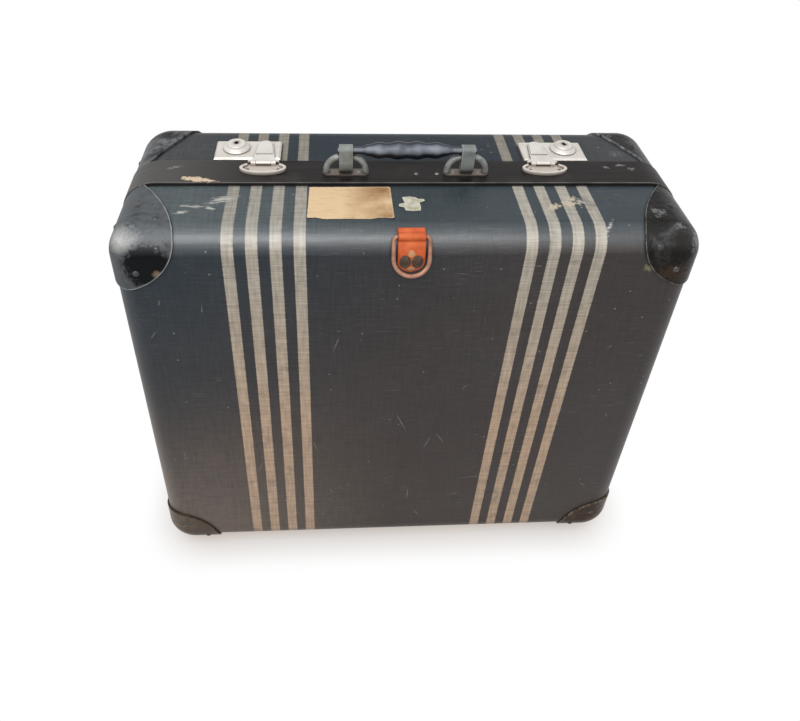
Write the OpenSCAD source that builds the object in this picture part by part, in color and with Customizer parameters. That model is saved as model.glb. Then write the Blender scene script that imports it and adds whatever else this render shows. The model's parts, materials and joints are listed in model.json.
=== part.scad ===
// Upright hard suitcase: two fibre half shells hinged along the bottom, fibre corner caps,
// a proud rim band, a carrying handle on two rings, two slide-button locks and a tag ring.
// Millimetres. Z is up, the front face looks towards -Y, the foot studs stand on z = 0.

/* [Case] */
// width across the two sides of the shell
case_w = 600; // [480:5:720]
// height of the shell, standing on its hinge side
case_h = 515; // [420:5:620]
// depth of the front half, from its face to the opening line
base_depth = 138; // [115:1:170]
// depth of the back half, from the opening line to its face
lid_depth = 88; // [73:1:110]
// wall thickness of the two shells
shell_t = 3; // [2:0.5:4]
// radius of the four corners, seen from the front
corner_r = 34; // [31:1:44]
// radius of the edge round each face
edge_r = 26; // [20:1:28]
// height of the shell above the ground
foot_h = 5; // [5:0.5:8]

/* [Band, frame and lining] */
// width of the rim band, measured from the opening line
band_w = 47; // [40:1:56]
// how far the rim band stands out from the shell
band_t = 3.5; // [2.5:0.25:4]
// how far the inner frame reaches into the back half
tongue_reach = 7; // [4:0.5:8]
// thickness of the inner frames
frame_t = 2.2; // [1.5:0.1:3]
// thickness of the linings
lining_t = 1.2; // [0.8:0.1:2]

/* [Corner caps] */
// radius of a cap on the face
cap_face_r = 67; // [57:1:81]
// radius of a front cap where it meets the rim band
cap_rim_r = 24; // [20:1:34]
// how far the edges of a front cap bow out between the band and the face
cap_bow = 8; // [4:0.5:12]
// radius of a back cap at the opening line
lid_cap_rim_r = 20; // [16:1:26]
// thickness of a cap
cap_t = 2.5; // [2:0.25:3]
// diameter of a cap rivet head
rivet_d = 6.8; // [5:0.2:8]
// height of a cap rivet head
rivet_h = 1.6; // [1.2:0.1:2]
// diameter of a foot stud
stud_d = 14; // [10:1:18]

/* [Handle] */
// distance between the two handle rings
ring_pitch = 131; // [110:1:157]
// width over one handle ring
ring_w = 49; // [44:1:58]
// diameter of the handle ring rod
rod_d = 6.8; // [5.6:0.2:8.2]
// height of the ring rod axis above the rim band
rod_h = 20.5; // [20:0.5:25]
// width of a handle loop
loop_w = 14.5; // [12:0.5:18]
// thickness of the loop leather
loop_t = 2; // [1.6:0.1:2.6]
// diameter of the grip necks
neck_d = 8; // [7.4:0.2:9.4]
// greatest diameter of the grip
grip_d = 20; // [17:0.5:23]
// how much the grip's radius tapers from its middle to its shoulders
grip_taper = 2.2; // [0:0.1:3]

/* [Locks] */
// distance from the middle of the case to the hasp
hasp_x = 155; // [140:1:190]
// distance from the hasp to the lock button
button_gap = 32; // [31:0.5:36]
// length of a lock plate along the case
plate_w = 73; // [70:1:88]
// depth of a lock plate from front to back
plate_d = 40; // [36:1:48]
// height of a lock plate
plate_h = 5; // [4.5:0.25:6]
// width of a hasp tongue
hasp_w = 17; // [15:0.5:20]
// diameter of a lock button
button_d = 30; // [26:0.5:32]
// how far a lock button slides
button_travel = 6; // [4:0.5:7]

/* [Tag] */
// position of the tag tab along the case
tag_x = -2.5; // [-20:0.5:20]
// width of the tag tab
tag_w = 28; // [24:1:32]
// width over the tag ring
tag_ring_w = 40.4; // [38:0.2:48]
// length of the tag ring from its bar to its end
tag_ring_l = 40; // [36:1:48]
// wire diameter of the tag ring
wire_d = 4.4; // [3.6:0.2:4.8]

/* [Paper] */
// width of the paper label
label_w = 88; // [74:1:105]
// depth of the paper label
label_d = 60; // [46:1:61]

/* [Hinges] */
// distance from the middle of the case to each hinge
hinge_x = 170; // [140:1:210]
// length of a hinge
hinge_w = 52; // [44:1:62]
// diameter of the hinge pins
hinge_pin_d = 2.4; // [2:0.1:2.6]

/* [Hidden] */
$fn = 64;
// gap under a fixed piece, radial play of a turning fit, gap between the two halves
seat = 0.05;
run = 0.05;
lid_gap = 0.4;
top_z = foot_h + case_h;
band_top = top_z + band_t;
mid_z = foot_h + case_h / 2;
front_y = -base_depth;
back_y = lid_depth;

// rim numbers, measured in depth from the opening line
band_edge_r = 1.2;
frame_end = 24.8;
lid_frame_start = tongue_reach + 2.5;
lid_frame_end = 30;
tongue_gap = 0.4;
wall_gap = 0.1;
lining_gap = 0.2;
frame_end_h = 12;

// places on the caps, in from the sides of the case and back from its face
edge_rivet = [50, 15];
face_rivet = [27, 43];
wall_rivet_in = 47;
wall_rivet_back = 29;
corner_rivet_off = 10;
corner_rivet_back = 50;
stud_in = 40;
stud_back = 32;
stud_bevel = 0.7;

// handle numbers, measured from the ring rod axis
rod_r = rod_d / 2;
stub_h = rod_r + neck_d / 2 + 0.3;
loop_in = neck_d / 2 + 0.3;
loop_out = loop_in + loop_t;
loop_drop = rod_h - 2.6;
rod_z = band_top + rod_h;
ring_back = 20;
ring_y = ring_back - band_w;
leg_x = ring_w / 2 - rod_r;
ring_plate_t = 1.6;
ring_plate_b = 13;
ring_plate_l = ring_w + 1;
// the arch is nearly a half circle, straight only where the loop hangs
arch_flat = 4.1;
bend_r = min(leg_x - arch_flat, rod_h - ring_plate_t - 1.9);
// the grip's body ends clear of the inner legs of the rings
shoulder_l = 8;
neck_x = ring_pitch / 2 - leg_x + 5.6;
body_x = neck_x - shoulder_l;
grip_half = ring_pitch / 2 + loop_w / 2 + 1.5;
waves = 4;
wave_h = 1.6;

// tag numbers: the bar lies on the rounded front top edge, 45 degrees round it
layer_t = 1.8;
wire_r = wire_d / 2;
edge_y = front_y + edge_r;
edge_z = top_z - edge_r;
bar_r = edge_r + layer_t + 0.4 + wire_r;
bar_y = edge_y - bar_r * cos(45);
bar_z = edge_z + bar_r * sin(45);
// the ring hangs just clear of the rounded edge, this far out of the vertical
tag_lean = asin((edge_r + wire_r + 0.4) / bar_r) - 45;
tag_side_x = tag_ring_w / 2 - wire_r;
// the ring's shoulders bend just outside the strap
tag_corner_r = tag_side_x - tag_w / 2 + 0.6;
tag_drop = 38;
tag_end_z = bar_z - tag_drop;
tag_rivet_z = bar_z - 24;

// lock numbers, y measured from the opening line
button_x = hasp_x + button_gap;
plate_x = hasp_x + 19;
plate_y = 1.2;
plate_sheet = 1.2;
plate_bevel = 1.8;
hollow_bevel = 1.1;
front_wall = 2.2;
button_y = plate_y + 23;
button_foot = top_z + plate_h + 0.3;
plug_r = 5;
plug_floor = 2.4;
stem_r = 3.2;
slot_gap = 0.8;
bolt_z = top_z + 1.4;
bolt_top = button_foot - 2.4;
bolt_front = button_y - 5.4;
bolt_w = 9;
bolt_tail_x = button_x + 5;
spring_t = 0.6;
spring_h = 2;
dish_y = -20.5;
dish_a = 25;
dish_b = 11.5;
dish_t = 1.2;
dish_rim_h = 3.4;
dish_rim_w = 3.2;
hasp_pin_y = -11.5;
hasp_pin_z = band_top + 3.7;
hasp_pin_d = 2;
hasp_knuckle_r = 2.2;
hasp_knuckle_w = 16;
side_knuckle_w = 5;
side_knuckle_x = (hasp_knuckle_w + side_knuckle_w) / 2 + 0.4;
hasp_under = max(top_z + plate_h, band_top + dish_t) + 0.4;
hasp_t = 1.8;
ridge_h = 1;
ridge_in = 1.3;
hasp_end_y = plate_y + 36;
crease_y = plate_y + 5;
crease_w = hasp_w + 5;
flare_w = 34;
flare_l = 11;
flare_y = hasp_pin_y + 2.6;
flare_r = 9.5;
hook_y = 20;
hook_w = 8;
hook_z = top_z + 1.6;

// paper numbers: both pieces lie on the top wall in front of the band
paper_t = 0.4;
label_right = -18;
label_top = -band_w - 3;
scrap_x = 2;
scrap_y = -band_w - 35;

// hinge numbers
axis_y = lid_gap / 2;
axis_z = foot_h / 2;
knuckle_r = foot_h / 2 - 0.2;
leaf_t = 1.2;
leaf_l = 22;
knuckle_gap = 0.3;
knuckle_l = hinge_w / 5;

// the frame's y = 0 is the middle of the whole part
tag_front = bar_y - tag_ring_l * sin(tag_lean) - wire_r;
joint_y = -(tag_front + back_y + cap_t + rivet_h) / 2;

// Placing helpers

// puts y = 0 on the opening line
module at_joint() { translate([0, joint_y, 0]) children(); }

// local XY is the case front, local Z runs from the opening line to the front face
module base_half() { translate([0, joint_y, mid_z]) rotate([90, 0, 0]) children(); }

// the same for the back half, seen from behind: local Z runs to the back face, local X to -X
module lid_half() { translate([0, joint_y, mid_z]) rotate([90, 0, 180]) children(); }

// mirrors a right-hand fitting to the left
module left_hand() { mirror([1, 0, 0]) children(); }

// Shared shapes

module rounded_rect(w, h, r) {
    square([w - 2 * r, h], center = true);
    square([w, h - 2 * r], center = true);
    for (x = [-1, 1], y = [-1, 1]) translate([x * (w / 2 - r), y * (h / 2 - r)]) circle(r = r);
}

// quarter of a rounded block in section: radius outwards, depth upwards from d0 to d1
module block_section(rc, re, d0, d1) {
    intersection() {
        union() {
            translate([0, d0]) square([rc, d1 - re - d0]);
            translate([0, d0]) square([rc - re, d1 - d0]);
            translate([rc - re, d1 - re]) circle(r = re);
        }
        translate([0, d0]) square([rc, d1 - d0]);
    }
}

module wall_section(rc, re, t, d0, d1) {
    difference() {
        block_section(rc, re, d0, d1);
        block_section(rc - t, re - t, d0 - 1, d1 - t);
    }
}

// sweeps a section round a rounded rectangle: four corners and four sides
module around(w, h, rc) {
    for (c = [[1, 1, 0], [-1, 1, 90], [-1, -1, 180], [1, -1, 270]])
        translate([c[0] * (w / 2 - rc), c[1] * (h / 2 - rc), 0]) rotate([0, 0, c[2]])
            rotate_extrude(angle = 90) children();
    for (a = [0, 180]) rotate([0, 0, a]) translate([w / 2 - rc, h / 2 - rc, 0])
        rotate([90, 0, 0]) linear_extrude(h - 2 * rc) children();
    for (a = [90, 270]) rotate([0, 0, a]) translate([h / 2 - rc, w / 2 - rc, 0])
        rotate([90, 0, 0]) linear_extrude(w - 2 * rc) children();
}

// open tray: the wall section swept round the outline, closed by the flat face
module tray(w, h, rc, re, t, d0, d1) {
    around(w, h, rc) wall_section(rc, re, t, d0, d1);
    translate([rc - w / 2, rc - h / 2, d1 - t]) cube([w - 2 * rc, h - 2 * rc, t]);
}

// section of the rim band on the shell wall, with both outer edges rounded
module band_section() {
    r = band_edge_r;
    outer = corner_r + band_t;
    translate([corner_r + seat, 0]) square([band_t - seat - r, band_w]);
    translate([corner_r + seat, r]) square([band_t - seat, band_w - 2 * r]);
    for (depth = [r, band_w - r]) translate([outer - r, depth]) circle(r = r);
}

// ring that follows the shell outline, from depth d0 to d1
module rim_ring(grow, t, d0, d1) {
    translate([0, 0, d0]) linear_extrude(d1 - d0) difference() {
        rounded_rect(case_w + 2 * grow, case_h + 2 * grow, corner_r + grow);
        rounded_rect(case_w + 2 * grow - 2 * t, case_h + 2 * grow - 2 * t, corner_r + grow - t);
    }
}

// domed rivet head standing on z = 0
module rivet(d, h) {
    r = (d * d / 4 + h * h) / (2 * h);
    translate([0, 0, seat]) intersection() {
        translate([0, 0, h - r]) sphere(r = r);
        cylinder(d = d + 1, h = h);
    }
}

// flat-tipped stud standing on z = 0, with a bevelled rim
module stud(d, h) {
    straight = h - stud_bevel;
    cylinder(d = d, h = straight);
    translate([0, 0, straight]) cylinder(d1 = d, d2 = d - 3 * stud_bevel, h = stud_bevel);
}

// end view of a block with its two top edges bevelled
module bevelled_end(w, h, bevel) {
    polygon([[-w / 2, 0], [w / 2, 0], [w / 2, h - bevel], [w / 2 - bevel, h],
        [bevel - w / 2, h], [-w / 2, h - bevel]]);
}

// block on z = 0 with its four top edges bevelled
module bevelled_block(w, d, h, bevel) {
    intersection() {
        rotate([90, 0, 0]) linear_extrude(d, center = true) bevelled_end(w, h, bevel);
        rotate([90, 0, 90]) linear_extrude(w, center = true) bevelled_end(d, h, bevel);
    }
}

// layer that fits over one corner of the shell, round a corner axis at the origin
module corner_layer(depth, d0) {
    arm = cap_face_r - corner_r + 6;
    rotate_extrude(angle = 90) cap_section(depth, d0);
    rotate([90, 0, 0]) linear_extrude(arm) cap_section(depth, d0);
    rotate([0, 0, 90]) rotate([90, 0, 0]) translate([0, 0, -arm])
        linear_extrude(arm) cap_section(depth, d0);
    translate([-arm, -arm, depth + seat]) cube([arm, arm, cap_t - seat]);
}

// radius of a front cap's edge, at a share of the way from the band to the face
function cap_edge(share) = cap_rim_r + (cap_face_r - cap_rim_r) * share
    + 4 * cap_bow * share * (1 - share);

// front cap: the layer inside a bowed cone, so that its edges bulge between face and band
module base_cap(turn) {
    span = base_depth - band_w;
    steps = 6;
    end = base_depth + cap_t + 1;
    rotate([0, 0, turn]) intersection() {
        translate([corner_r, corner_r, 0]) rotate_extrude() polygon(concat([[0, band_w]],
            [for (i = [0:steps]) [cap_edge(i / steps), band_w + span * i / steps]],
            [[cap_face_r, end], [0, end]]));
        corner_layer(base_depth, band_w);
    }
}

// back cap: the layer inside a cone, so that its edges run straight to the opening line
module lid_cap(turn) {
    rotate([0, 0, turn]) intersection() {
        translate([corner_r, corner_r, lid_gap])
            cylinder(r1 = lid_cap_rim_r, r2 = cap_face_r + 2, h = lid_depth + cap_t + 1);
        corner_layer(lid_depth, lid_gap);
    }
}

module cap_section(depth, d0) {
    wall_section(corner_r + cap_t, edge_r + cap_t, cap_t - seat, d0 + 0.3, depth + cap_t);
}

// moves to the axis of a shell corner
module corner_at(x, y) {
    translate([x * (case_w / 2 - corner_r), y * (case_h / 2 - corner_r), 0]) children();
}

// two rivets on each lobe of the four caps of one half; a foot stud takes the place of
// one rivet on each bottom lobe
module cap_rivets(depth) {
    edge_a = asin((edge_r - edge_rivet[1]) / (edge_r + cap_t));
    corner_a = asin(corner_rivet_off / (corner_r + cap_t));
    wall_d = depth - wall_rivet_back;
    for (x = [-1, 1], y = [-1, 1]) {
        translate([x * (case_w / 2 - edge_rivet[0]), y * (case_h / 2 - edge_r), depth - edge_r])
            rotate([-y * edge_a, 0, 0]) translate([0, 0, edge_r + cap_t]) rivet(rivet_d, rivet_h);
        translate([x * (case_w / 2 - face_rivet[0]), y * (case_h / 2 - face_rivet[1]),
            depth + cap_t]) rivet(rivet_d, rivet_h);
        if (y > 0) translate([x * (case_w / 2 - wall_rivet_in), case_h / 2 + cap_t, wall_d])
            rotate([-90, 0, 0]) rivet(rivet_d, rivet_h);
        translate([x * (case_w / 2 + cap_t), y * (case_h / 2 - wall_rivet_in), wall_d])
            rotate([0, x * 90, 0]) rivet(rivet_d, rivet_h);
        translate([x * (case_w / 2 - corner_r), y * (case_h / 2 - corner_r),
            depth - corner_rivet_back]) {
            rotate([0, 0, -x * y * corner_a]) translate([0, y * (corner_r + cap_t), 0])
                rotate([-y * 90, 0, 0]) rivet(rivet_d, rivet_h);
            rotate([0, 0, x * y * corner_a]) translate([x * (corner_r + cap_t), 0, 0])
                rotate([0, x * 90, 0]) rivet(rivet_d, rivet_h);
        }
    }
}

module foot_studs(depth) {
    drop = case_h / 2 + cap_t + seat;
    for (x = [-1, 1]) translate([x * (case_w / 2 - stud_in), -drop, depth - stud_back])
        rotate([90, 0, 0]) stud(stud_d, foot_h - cap_t - seat);
}

// Front half

module base_shell() {
    color("#323c46") base_half() tray(case_w, case_h, corner_r, edge_r, shell_t, 0, base_depth);
}

// covered card inside one half, from depth d0 to the face
module lining(d0, depth) {
    in = shell_t + wall_gap;
    tray(case_w - 2 * in, case_h - 2 * in, corner_r - in, edge_r - in, lining_t, d0, depth - in);
}

module base_lining() {
    color("#b9a888") base_half() lining(frame_end + lining_gap, base_depth);
}

// wooden frame on the top and the two sides, its tongue reaches into the back half
module base_frame() {
    cut_d = 2 * frame_end + 2 * tongue_reach;
    color("#8a6a45") difference() {
        base_half() rim_ring(-shell_t - tongue_gap, frame_t, -tongue_reach, frame_end);
        translate([-case_w / 2, joint_y - cut_d / 2, 0])
            cube([case_w, cut_d, foot_h + corner_r + frame_end_h]);
    }
}

// dark band over the rim, notched round the hinge leaves
module rim_band() {
    notch = 1;
    color("#3f3a37") difference() {
        base_half() around(case_w, case_h, corner_r) band_section();
        for (x = [-1, 1]) translate([x * hinge_x, joint_y - leaf_l - notch, -1])
            translate([-hinge_w / 2 - notch, 0, 0])
                cube([hinge_w + 2 * notch, leaf_l + 2 * notch, foot_h + 1.5]);
    }
}

module base_cap_top_left() {
    color("#26282b") base_half() corner_at(-1, 1) base_cap(90);
}

module base_cap_top_right() {
    color("#26282b") base_half() corner_at(1, 1) base_cap(0);
}

module base_cap_bottom_left() {
    color("#26282b") base_half() corner_at(-1, -1) base_cap(180);
}

module base_cap_bottom_right() {
    color("#26282b") base_half() corner_at(1, -1) base_cap(270);
}

module base_cap_rivets() { color("#6d6a66") base_half() cap_rivets(base_depth); }

module base_foot_studs() { color("#77726b") base_half() foot_studs(base_depth); }

// Handle

// rod bent to an arch on a stadium-shaped foot plate, standing on z = 0
module handle_ring() {
    end_x = (ring_plate_l - ring_plate_b) / 2;
    mid_t = ring_plate_t / 2;
    translate([0, 0, seat]) {
        translate([0, 0, mid_t]) cube([2 * end_x, ring_plate_b, ring_plate_t], center = true);
        for (x = [-1, 1]) {
            translate([x * end_x, 0, 0]) cylinder(d = ring_plate_b, h = ring_plate_t);
            translate([x * leg_x, 0, mid_t]) cylinder(r = rod_r, h = rod_h - seat - bend_r - mid_t);
        }
    }
    translate([0, 0, rod_h]) rotate([0, 90, 0])
        cylinder(r = rod_r, h = 2 * (leg_x - bend_r), center = true);
    translate([leg_x - bend_r, 0, rod_h - bend_r]) rotate([90, 0, 0])
        rotate_extrude(angle = 90) translate([bend_r, 0]) circle(r = rod_r);
    translate([bend_r - leg_x, 0, rod_h - bend_r]) rotate([90, 0, 0]) rotate([0, 0, 90])
        rotate_extrude(angle = 90) translate([bend_r, 0]) circle(r = rod_r);
}

module handle_ring_left() {
    color("#6f7070") at_joint() translate([-ring_pitch / 2, ring_y, band_top]) handle_ring();
}

module handle_ring_right() {
    color("#6f7070") at_joint() translate([ring_pitch / 2, ring_y, band_top]) handle_ring();
}

module handle_ring_rivets() {
    color("#8d8a86") at_joint() for (s = [-1, 1], x = [-1, 1])
        translate([s * ring_pitch / 2 + x * (leg_x - rod_r - 4), ring_y,
            band_top + ring_plate_t + seat]) rivet(5, 1.1);
}

// two plain rivets in the band beside the right ring
module band_rivets() {
    color("#8d8a86") at_joint() for (x = [11, 33.5]) translate([x, ring_y - 1.5, band_top])
        rivet(4.6, 1.1);
}

// radius of the grip: finger waves on a tapered body, smooth shoulders down to the necks
function grip_r(x) = let (a = abs(x), low = grip_d / 2 - wave_h, end = low - grip_taper,
        neck = neck_d / 2)
    a > body_x ? neck + (end - neck) * (1 + cos((a - body_x) / shoulder_l * 180)) / 2
    : low - grip_taper * pow(a / body_x, 2)
        + wave_h * (1 - cos((x + body_x) / (2 * body_x) * waves * 360)) / 2;

// moulded grip, turned about its own axis
module handle_grip() {
    steps = 56;
    color("#2f3640") at_joint() translate([0, ring_y, rod_z + stub_h]) rotate([0, 90, 0])
        rotate_extrude() polygon(concat([[0, -grip_half]], [[neck_d / 2, -grip_half]],
            [for (i = [0:steps]) let (x = neck_x * (2 * i / steps - 1)) [grip_r(x), x]],
            [[neck_d / 2, grip_half]], [[0, grip_half]]));
}

// strap wound round the ring rod and the neck of the grip; the slack hangs below the rod
module handle_loop() {
    low = loop_drop - loop_out;
    rotate([90, 0, 90]) linear_extrude(loop_w, center = true) difference() {
        union() {
            translate([0, stub_h]) circle(r = loop_out);
            translate([0, -low]) circle(r = loop_out);
            translate([-loop_out, -low]) square([2 * loop_out, stub_h + low]);
        }
        translate([0, stub_h]) circle(r = loop_in);
        translate([0, -low]) circle(r = loop_in);
        translate([-loop_in, -low]) square([2 * loop_in, stub_h + low]);
    }
}

module handle_loop_left() {
    color("#4d5350") at_joint() translate([-ring_pitch / 2, ring_y, rod_z]) handle_loop();
}

module handle_loop_right() {
    color("#4d5350") at_joint() translate([ring_pitch / 2, ring_y, rod_z]) handle_loop();
}

// Locks, drawn for the right-hand side

function oval(a, b) = [for (i = [0:47]) [a * cos(i * 7.5), b * sin(i * 7.5)]];

// oval dish on the band with two knuckles for the hasp pin
module hasp_base() {
    r = hasp_knuckle_r;
    w = side_knuckle_w;
    foot = hasp_pin_z - band_top - seat;
    at_joint() difference() {
        union() {
            translate([hasp_x, dish_y, band_top + seat]) {
                linear_extrude(dish_t) polygon(oval(dish_a, dish_b));
                linear_extrude(dish_rim_h) difference() {
                    polygon(oval(dish_a, dish_b));
                    polygon(oval(dish_a - dish_rim_w, dish_b - dish_rim_w));
                    translate([-flare_w / 2, 2]) square([flare_w, dish_b]);
                }
            }
            for (x = [-1, 1]) translate([hasp_x + x * side_knuckle_x, hasp_pin_y, hasp_pin_z]) {
                rotate([0, 90, 0]) cylinder(r = r, h = w, center = true);
                translate([-w / 2, -r, -foot]) cube([w, 2 * r, foot]);
            }
        }
        hasp_pin_bore();
    }
}

// bore for the hasp pin, through all three knuckles
module hasp_pin_bore() {
    translate([hasp_x, hasp_pin_y, hasp_pin_z]) rotate([0, 90, 0])
        cylinder(d = hasp_pin_d + 2 * run, h = 2 * dish_a, center = true);
}

module hasp_base_right() { color("#ddd6cd") hasp_base(); }

module hasp_base_left() { color("#ddd6cd") left_hand() hasp_base(); }

module hasp_base_rivets() {
    color("#8b8178") at_joint() for (s = [-1, 1], x = [-1, 1])
        translate([s * hasp_x + x * 16.5, dish_y - 1.5, band_top + dish_t + seat])
            rivet(4.4, 1);
}

module hasp_pins() {
    pin_l = 2 * side_knuckle_x + side_knuckle_w + 0.6;
    color("#b9b2aa") at_joint() for (s = [-1, 1])
        translate([s * hasp_x, hasp_pin_y, hasp_pin_z]) rotate([0, 90, 0])
            cylinder(d = hasp_pin_d, h = pin_l, center = true);
}

// outline of the tongue behind its crease: a taper with a round rear end
module tongue_plan(inset) {
    end_y = hasp_end_y - hasp_w / 2;
    end_r = hasp_w / 2 - inset;
    front_x = crease_w / 2 - inset;
    translate([0, end_y]) circle(r = end_r);
    polygon([[-front_x, crease_y + inset], [front_x, crease_y + inset],
        [end_r, end_y], [-end_r, end_y]]);
}

// outline in front of the crease, flared out towards the dish
module flare_plan() {
    difference() {
        translate([-flare_w / 2, flare_y]) square([flare_w, flare_l]);
        for (x = [-1, 1]) translate([x * (crease_w / 2 + flare_r), flare_y + flare_l])
            circle(r = flare_r);
    }
    translate([-crease_w / 2, flare_y]) square([crease_w, crease_y - flare_y]);
}

// flared tongue that lies over the opening line, with a raised panel and a hook under it
module hasp() {
    at_joint() difference() {
        union() {
            translate([hasp_x, hasp_pin_y, hasp_pin_z]) rotate([0, 90, 0])
                cylinder(r = hasp_knuckle_r, h = hasp_knuckle_w, center = true);
            translate([hasp_x - hasp_knuckle_w / 2, hasp_pin_y, hasp_under])
                cube([hasp_knuckle_w, flare_y - hasp_pin_y + 0.4, hasp_t]);
            translate([hasp_x, 0, hasp_under]) {
                linear_extrude(hasp_t) {
                    flare_plan();
                    tongue_plan(0);
                }
                linear_extrude(hasp_t + ridge_h) tongue_plan(ridge_in);
            }
            translate([hasp_x - hook_w / 2, hook_y, hook_z])
                cube([hook_w, 3, hasp_under - hook_z + 0.6]);
            translate([hasp_x - hook_w / 2, hook_y - 1.5, hook_z]) cube([hook_w, 2, 1.4]);
        }
        hasp_pin_bore();
    }
}

module hasp_right() { color("#e4ddd4") hasp(); }

module hasp_left() { color("#e4ddd4") left_hand() hasp(); }

// pressed cover with a slot for the button stem and an open slot for the hook
module lock_plate() {
    hook_slot = hook_w + 4;
    stem_slot = 2 * (stem_r + slot_gap);
    hollow_d = plate_d - front_wall - plate_sheet;
    at_joint() translate([plate_x, plate_y, top_z + seat]) difference() {
        translate([0, plate_d / 2, 0])
            bevelled_block(plate_w, plate_d, plate_h - seat, plate_bevel);
        translate([0, front_wall + hollow_d / 2, -1])
            bevelled_block(plate_w - 2 * plate_sheet, hollow_d,
                plate_h - plate_sheet - seat + 1, hollow_bevel);
        translate([hasp_x - plate_x - hook_slot / 2, -1, -1])
            cube([hook_slot, hook_y - plate_y + 8, plate_h + 2]);
        translate([button_x - plate_x - stem_slot / 2, button_y - plate_y - stem_slot / 2, -1])
            cube([stem_slot + button_travel, stem_slot, plate_h + 2]);
    }
}

module lock_plate_right() { color("#d8d1c8") lock_plate(); }

module lock_plate_left() { color("#d8d1c8") left_hand() lock_plate(); }

// domed slide button with its stem and the bolt that it carries inside the plate
module lock_button() {
    r = button_d / 2;
    nose_x = hasp_x + hook_w / 2 + 0.6;
    at_joint() {
        translate([button_x, button_y, button_foot]) difference() {
            union() {
                rotate_extrude() polygon([[0, 0], [r, 0], [r, 0.8], [r - 1, 2.2], [r - 3.2, 4],
                    [r - 4.4, 4.4], [r - 4.4, 5], [r - 5, 6.2], [r - 5.8, 6.6], [0, 6.6]]);
                translate([0, 0, -3]) cylinder(r = stem_r, h = 4);
            }
            translate([0, 0, plug_floor]) cylinder(r = plug_r + run, h = 6);
        }
        translate([nose_x, bolt_front, bolt_z])
            cube([bolt_tail_x - nose_x, bolt_w, bolt_top - bolt_z]);
    }
}

module lock_button_right() { color("#e9e3da") lock_button(); }

module lock_button_left() { color("#e9e3da") left_hand() lock_button(); }

// flat U-shaped spring between the tail of the bolt and the end wall of the plate
module lock_spring() {
    end_x = plate_x + plate_w / 2 - plate_sheet;
    r = (end_x - bolt_tail_x) / 2 - seat;
    leg_l = bolt_w + 1;
    at_joint() translate([(end_x + bolt_tail_x) / 2, bolt_front + leg_l, top_z + seat])
        linear_extrude(spring_h) {
            difference() {
                circle(r = r);
                circle(r = r - spring_t);
                translate([-2 * r, -2 * r]) square([4 * r, 2 * r]);
            }
            for (x = [-r, r - spring_t]) translate([x, -leg_l]) square([spring_t, leg_l]);
        }
}

module lock_spring_right() { color("#9a9691") lock_spring(); }

module lock_spring_left() { color("#9a9691") left_hand() lock_spring(); }

// turning plug with a keyhole
module key_plug() {
    at_joint() translate([button_x, button_y, button_foot + plug_floor + run])
        difference() {
            cylinder(r = plug_r, h = 4.1);
            translate([0, 0, 0.6]) {
                cylinder(r = 1.5, h = 6);
                translate([-0.6, -3.2, 0]) cube([1.2, 3.2, 6]);
            }
        }
}

module key_plug_right() { color("#cfc7bd") key_plug(); }

module key_plug_left() { color("#cfc7bd") left_hand() key_plug(); }

// Tag tab and ring

// leather strap round the bar of the tag ring, riveted to the front face
module tag_tab() {
    thick = 2 * layer_t;
    end_r = tag_w / 2;
    color("#d8683a") at_joint() translate([tag_x, 0, 0]) difference() {
        union() {
            rotate([90, 0, 90]) linear_extrude(tag_w, center = true) {
                intersection() {
                    translate([edge_y, edge_z]) difference() {
                        circle(r = edge_r + thick);
                        circle(r = edge_r + seat);
                    }
                    translate([edge_y, edge_z]) polygon([[0, 0], [-60, 0], [-60, 60],
                        [-60 * tan(24), 60]]);
                }
                translate([bar_y, bar_z]) circle(r = wire_r + 0.4 + layer_t);
            }
            translate([-tag_w / 2, front_y - thick, tag_end_z + end_r])
                cube([tag_w, thick - seat, edge_z - tag_end_z - end_r]);
            translate([0, front_y - seat, tag_end_z + end_r]) rotate([90, 0, 0])
                cylinder(r = end_r, h = thick - seat);
        }
        translate([0, bar_y, bar_z]) rotate([0, 90, 0])
            cylinder(r = wire_r + 0.3, h = tag_w + 2, center = true);
    }
}

module tag_rivets() {
    color("#4a3d38") at_joint() for (x = [-1, 1])
        translate([tag_x + x * 6.5, front_y - 2 * layer_t, tag_rivet_z]) rotate([90, 0, 0])
            rivet(9.6, 1.8);
}

// D-shaped wire ring, drawn hanging straight down from its bar and then leaned forwards
module tag_ring() {
    side = tag_ring_l - tag_side_x;
    r = tag_corner_r;
    color("#b08a6c") at_joint() translate([tag_x, bar_y, bar_z]) rotate([-tag_lean, 0, 0]) {
        rotate([0, 90, 0]) cylinder(r = wire_r, h = 2 * (tag_side_x - r), center = true);
        for (x = [-1, 1]) {
            translate([x * (tag_side_x - r), 0, -r]) rotate([90, x > 0 ? 0 : -90, 0])
                rotate_extrude(angle = 90) translate([r, 0]) circle(r = wire_r);
            translate([x * tag_side_x, 0, -side]) cylinder(r = wire_r, h = side - r);
        }
        translate([0, 0, -side]) rotate([-90, 0, 0])
            rotate_extrude(angle = 180) translate([tag_side_x, 0]) circle(r = wire_r);
    }
}

// Paper on the top wall

module paper_label() {
    w = label_w;
    d = label_d;
    color("#d3ab7e") at_joint() translate([label_right - w, label_top - d, top_z + seat])
        linear_extrude(paper_t) polygon([[0, 4], [0.4, 1.5], [w * 0.1, 3], [w * 0.16, 1],
            [w * 0.2, 0], [w * 0.44, 0.6], [w * 0.72, 0], [w * 0.82, 2.2], [w * 0.9, 2.6],
            [w * 0.97, 0.4], [w, 1.2], [w - 0.6, d - 2], [w - 3, d], [1.5, d - 0.4]]);
}

module paper_scrap() {
    color("#cdc8b8") at_joint() translate([scrap_x, scrap_y, top_z + seat])
        linear_extrude(paper_t) polygon([[-10, 12], [-2, 13], [4, 12], [7, 9], [13, 8],
            [13.5, 4], [8, 2], [9, -6], [8, -13], [0, -14], [-8, -13], [-9, -7], [-15, -6],
            [-14, -1], [-8, 1]]);
}

// Back half

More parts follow.
